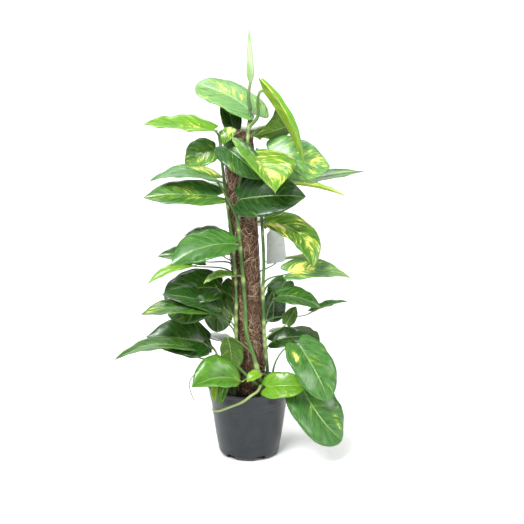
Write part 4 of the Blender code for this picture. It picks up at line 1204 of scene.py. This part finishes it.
def make_stem(name, points, thick, thin, joint_heights, pale_all=0.0):
    """A stem whose joints swell and pale at the heights where leaves leave it."""
    route = smooth_route(points, 4.0)
    lengths = along_route(route)
    radii = thick + (thin - thick) * lengths / lengths[-1]
    heights = np.array([point.z for point in route])
    pale = np.full(len(route), pale_all)
    for height in joint_heights:
        near = np.exp(-(((heights - height) / 4.5) ** 2))
        radii = radii * (1.0 + 0.2 * near)
        pale = np.maximum(pale, near)
    return stem_tube(name, route, radii, pale, 4)


# %% A leaf stalk
STALK_RADIUS = 1.7
THICK_STALKS = {"crown_right": 3.3, "crown_left": 2.3, "upper_left_grey": 2.6, "upper_left_pale": 2.2}


def make_stalk(name, leaf, route):
    """The stalk from the stem to the blade, and on under the blade as its raised midrib."""
    start = at_height(route, leaf.node_z)
    ribs = np.array([0.0, 0.04, 0.12, 0.25, 0.4, 0.55, 0.7, 0.82])
    middle, headings, sides, faces = blade_frames(leaf, ribs)
    base = Vector(leaf.base)
    heading, face = Vector(headings[0]), Vector(faces[0])
    if leaf.via:
        stalk = smooth_route([start, *leaf.via, base], 3.5)[:-1]
    else:
        span = (base - start).length
        rise = start + Vector((0.0, 0.0, 0.45 * span))
        arrive = base - (heading * 0.3 + face * 0.15) * span
        steps = max(8, round(span / 3.5))
        stalk = []
        for index in range(steps):
            t = index / steps
            u = 1.0 - t
            stalk.append(start * u**3 + rise * (3 * u * u * t) + arrive * (3 * u * t * t) + base * t**3)
    lengths = along_route(stalk + [base])
    share = lengths / lengths[-1]
    left = lengths[-1] - lengths
    radii = THICK_STALKS.get(name, STALK_RADIUS) * (1.0 - 0.42 * share + 0.45 * np.exp(-lengths / 9.0) + 0.3 * np.exp(-(((left - 4.0) / 4.0) ** 2)))
    pale = 0.35 * np.exp(-lengths / 8.0) + 0.6 * np.exp(-(((left - 4.0) / 5.0) ** 2))
    under = []
    for point, out, taper in zip(middle[1:], faces[1:], (0.95, 0.8, 0.66, 0.54, 0.42, 0.32, 0.2)):
        under.append(Vector(point) - Vector(out) * (0.75 + 0.3 * taper))
    rib_radii = np.array([0.95, 0.8, 0.66, 0.54, 0.42, 0.32, 0.2])
    whole = stalk + [base - face * 0.5] + under
    all_radii = np.concatenate([radii[:-1], [radii[-1] * 0.9], rib_radii])
    all_pale = np.concatenate([pale, np.full(len(under), 0.5)])
    return stem_tube(name + "_stalk", whole, all_radii, all_pale, 2)


# %% The rolled leaf
def make_rolled_leaf():
    """A sheet rolled round itself like a cigar: its cross-section is a spiral, so one edge shows."""
    turns, rows, columns = 1.45, 40, 40
    bpy.ops.object.select_all(action="DESELECT")
    bpy.ops.mesh.primitive_grid_add(x_subdivisions=columns, y_subdivisions=rows, size=2.0)
    roll = bpy.context.object
    roll.name = "front_vine_rolled_blade"
    shares = [share for share, radius in ROLLED_SHAPE]
    radii = [radius for share, radius in ROLLED_SHAPE]
    base, tip = Vector(ROLLED_STALK[-1]), Vector(ROLLED_TIP)
    for vertex in roll.data.vertices:
        round_share, up_share = 0.5 + 0.5 * vertex.co.x, 0.5 + 0.5 * vertex.co.y
        height = -0.02 + 1.02 * up_share
        radius = float(np.interp(height, shares, radii))
        flare = 1.0 - 0.05 * max(0.0, 0.12 - height) * 8.0
        radius *= (0.72 + 0.28 * round_share) * flare
        angle = math.tau * turns * round_share + 1.1 * height - 1.9
        droop = max(0.0, 0.1 - height) * (round_share - 0.3) * 30.0
        middle = base + (tip - base) * height
        vertex.co = (middle + Vector((math.cos(angle) * radius, math.sin(angle) * radius, -droop))) * MM
    wall = roll.modifiers.new("wall", "SOLIDIFY")
    wall.thickness = 0.0005
    wall.offset = 0.0
    bpy.ops.object.modifier_apply(modifier="wall")
    bpy.ops.object.shade_smooth()
    return roll


rolled = make_rolled_leaf()
print("rolled leaf:", len(rolled.data.polygons), "faces")

# %% All stems and stalks
stem_pieces = []
for stem_name, (points, thick, thin) in STEMS.items():
    own = {name: leaf for name, leaf in LEAVES.items() if leaf.stem == stem_name}
    coarse = smooth_route(points, 34.0)
    heights = [leaf.node_z for leaf in own.values() if leaf.node_z > SOIL_TOP]
    parts = [make_stem(stem_name + "_stems", points, thick, thin, heights)]
    for side_name, (owner, side_points, side_thick, side_thin) in SIDE_STEMS.items():
        if owner == stem_name and side_name != "aerial_root":
            pale = 0.85 if side_name == "front_runner" else 0.0
            parts.append(make_stem(side_name, side_points, side_thick, side_thin, (), pale))
    for name, leaf in own.items():
        parts.append(make_stalk(name, leaf, coarse))
    if stem_name == "front_vine":
        stalk = smooth_route(ROLLED_STALK, 3.0)
        parts.append(stem_tube("rolled_stalk", stalk, np.linspace(3.2, 2.4, len(stalk)), np.linspace(0.0, 0.4, len(stalk))))
    stem_pieces.append((joined(stem_name + "_stems", parts), stem_name))
owner, root_points, root_thick, root_thin = SIDE_STEMS["aerial_root"]
root_route = smooth_route(root_points, 2.5)
root = stem_tube("left_shoot_aerial_root", root_route, np.linspace(root_thick, root_thin, len(root_route)))

# %% The stems' finishes
stem_skin, graph, shader = new_finish("stem_skin")
place = node(graph, "TexCoord").outputs["Object"]
pale = node(graph, "Attribute", attribute_name="pale").outputs["Fac"]
drawn = speckle(graph, node(graph, "Mapping", {"Vector": place, "Scale": (700.0, 700.0, 60.0)}).outputs[0], 1.0, 3.0)
cloud = speckle(graph, place, 28.0, 2.0)
tone = blend_colour(graph, between(graph, cloud, 0.3, 0.7), (0.035, 0.1, 0.014), (0.1, 0.2, 0.03))
tone = blend_colour(graph, between(graph, drawn, 0.5, 0.75, 0.0, 0.6), tone, (0.24, 0.32, 0.12))
tone = blend_colour(graph, calc(graph, "MULTIPLY", pale, 0.8), tone, (0.42, 0.52, 0.2))
graph.links.new(tone, shader.inputs["Base Color"])
shader.inputs["Roughness"].default_value = 0.42
bump(graph, shader, drawn, 0.0004)
for piece, stem_name in stem_pieces:
    paint(piece, stem_skin)
    settle(piece, stem_name, stem_name)

root_skin, graph, shader = new_finish("dry_root")
place = node(graph, "TexCoord").outputs["Object"]
rings = speckle(graph, node(graph, "Mapping", {"Vector": place, "Scale": (500.0, 500.0, 900.0)}).outputs[0], 1.0, 3.0)
graph.links.new(blend_colour(graph, rings, (0.06, 0.035, 0.02), (0.26, 0.17, 0.1)), shader.inputs["Base Color"])
shader.inputs["Roughness"].default_value = 0.85
bump(graph, shader, rings, 0.0005)
paint(root, root_skin)
settle(root, "left_shoot", "left_shoot")

new_leaf, graph, shader = new_finish("rolled_leaf_skin")
place = node(graph, "TexCoord").outputs["Object"]
height = node(graph, "SeparateXYZ", {0: place}).outputs["Z"]
lines = speckle(graph, node(graph, "Mapping", {"Vector": place, "Scale": (900.0, 900.0, 25.0)}).outputs[0], 1.0, 3.0)
soft = speckle(graph, node(graph, "Mapping", {"Vector": place, "Scale": (120.0, 120.0, 30.0)}).outputs[0], 1.0, 2.0)
tone = blend_colour(graph, between(graph, soft, 0.35, 0.65), (0.22, 0.4, 0.12), (0.5, 0.64, 0.36))
tone = blend_colour(graph, between(graph, lines, 0.55, 0.75, 0.0, 0.5), tone, (0.7, 0.78, 0.6))
graph.links.new(tone, shader.inputs["Base Color"])
shader.inputs["Roughness"].default_value = 0.4
bump(graph, shader, lines, 0.0003)
paint(rolled, new_leaf)
settle(rolled, "front_vine", "front_vine")

# %% [markdown]
# ## The size
# The box of the solids and the box of the dressed plant are both printed, in millimetres. The
# dressed plant must stay inside the box of its solids.

# %% The size
visual_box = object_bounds()
boxes = {name: [[float(c) for c in corner] for corner in box] for name, box in (("cad", cad_box), ("visual", visual_box))}
for name, box in boxes.items():
    print(name, "box in mm:", [[round(c * 1000, 1) for c in corner] for corner in box])
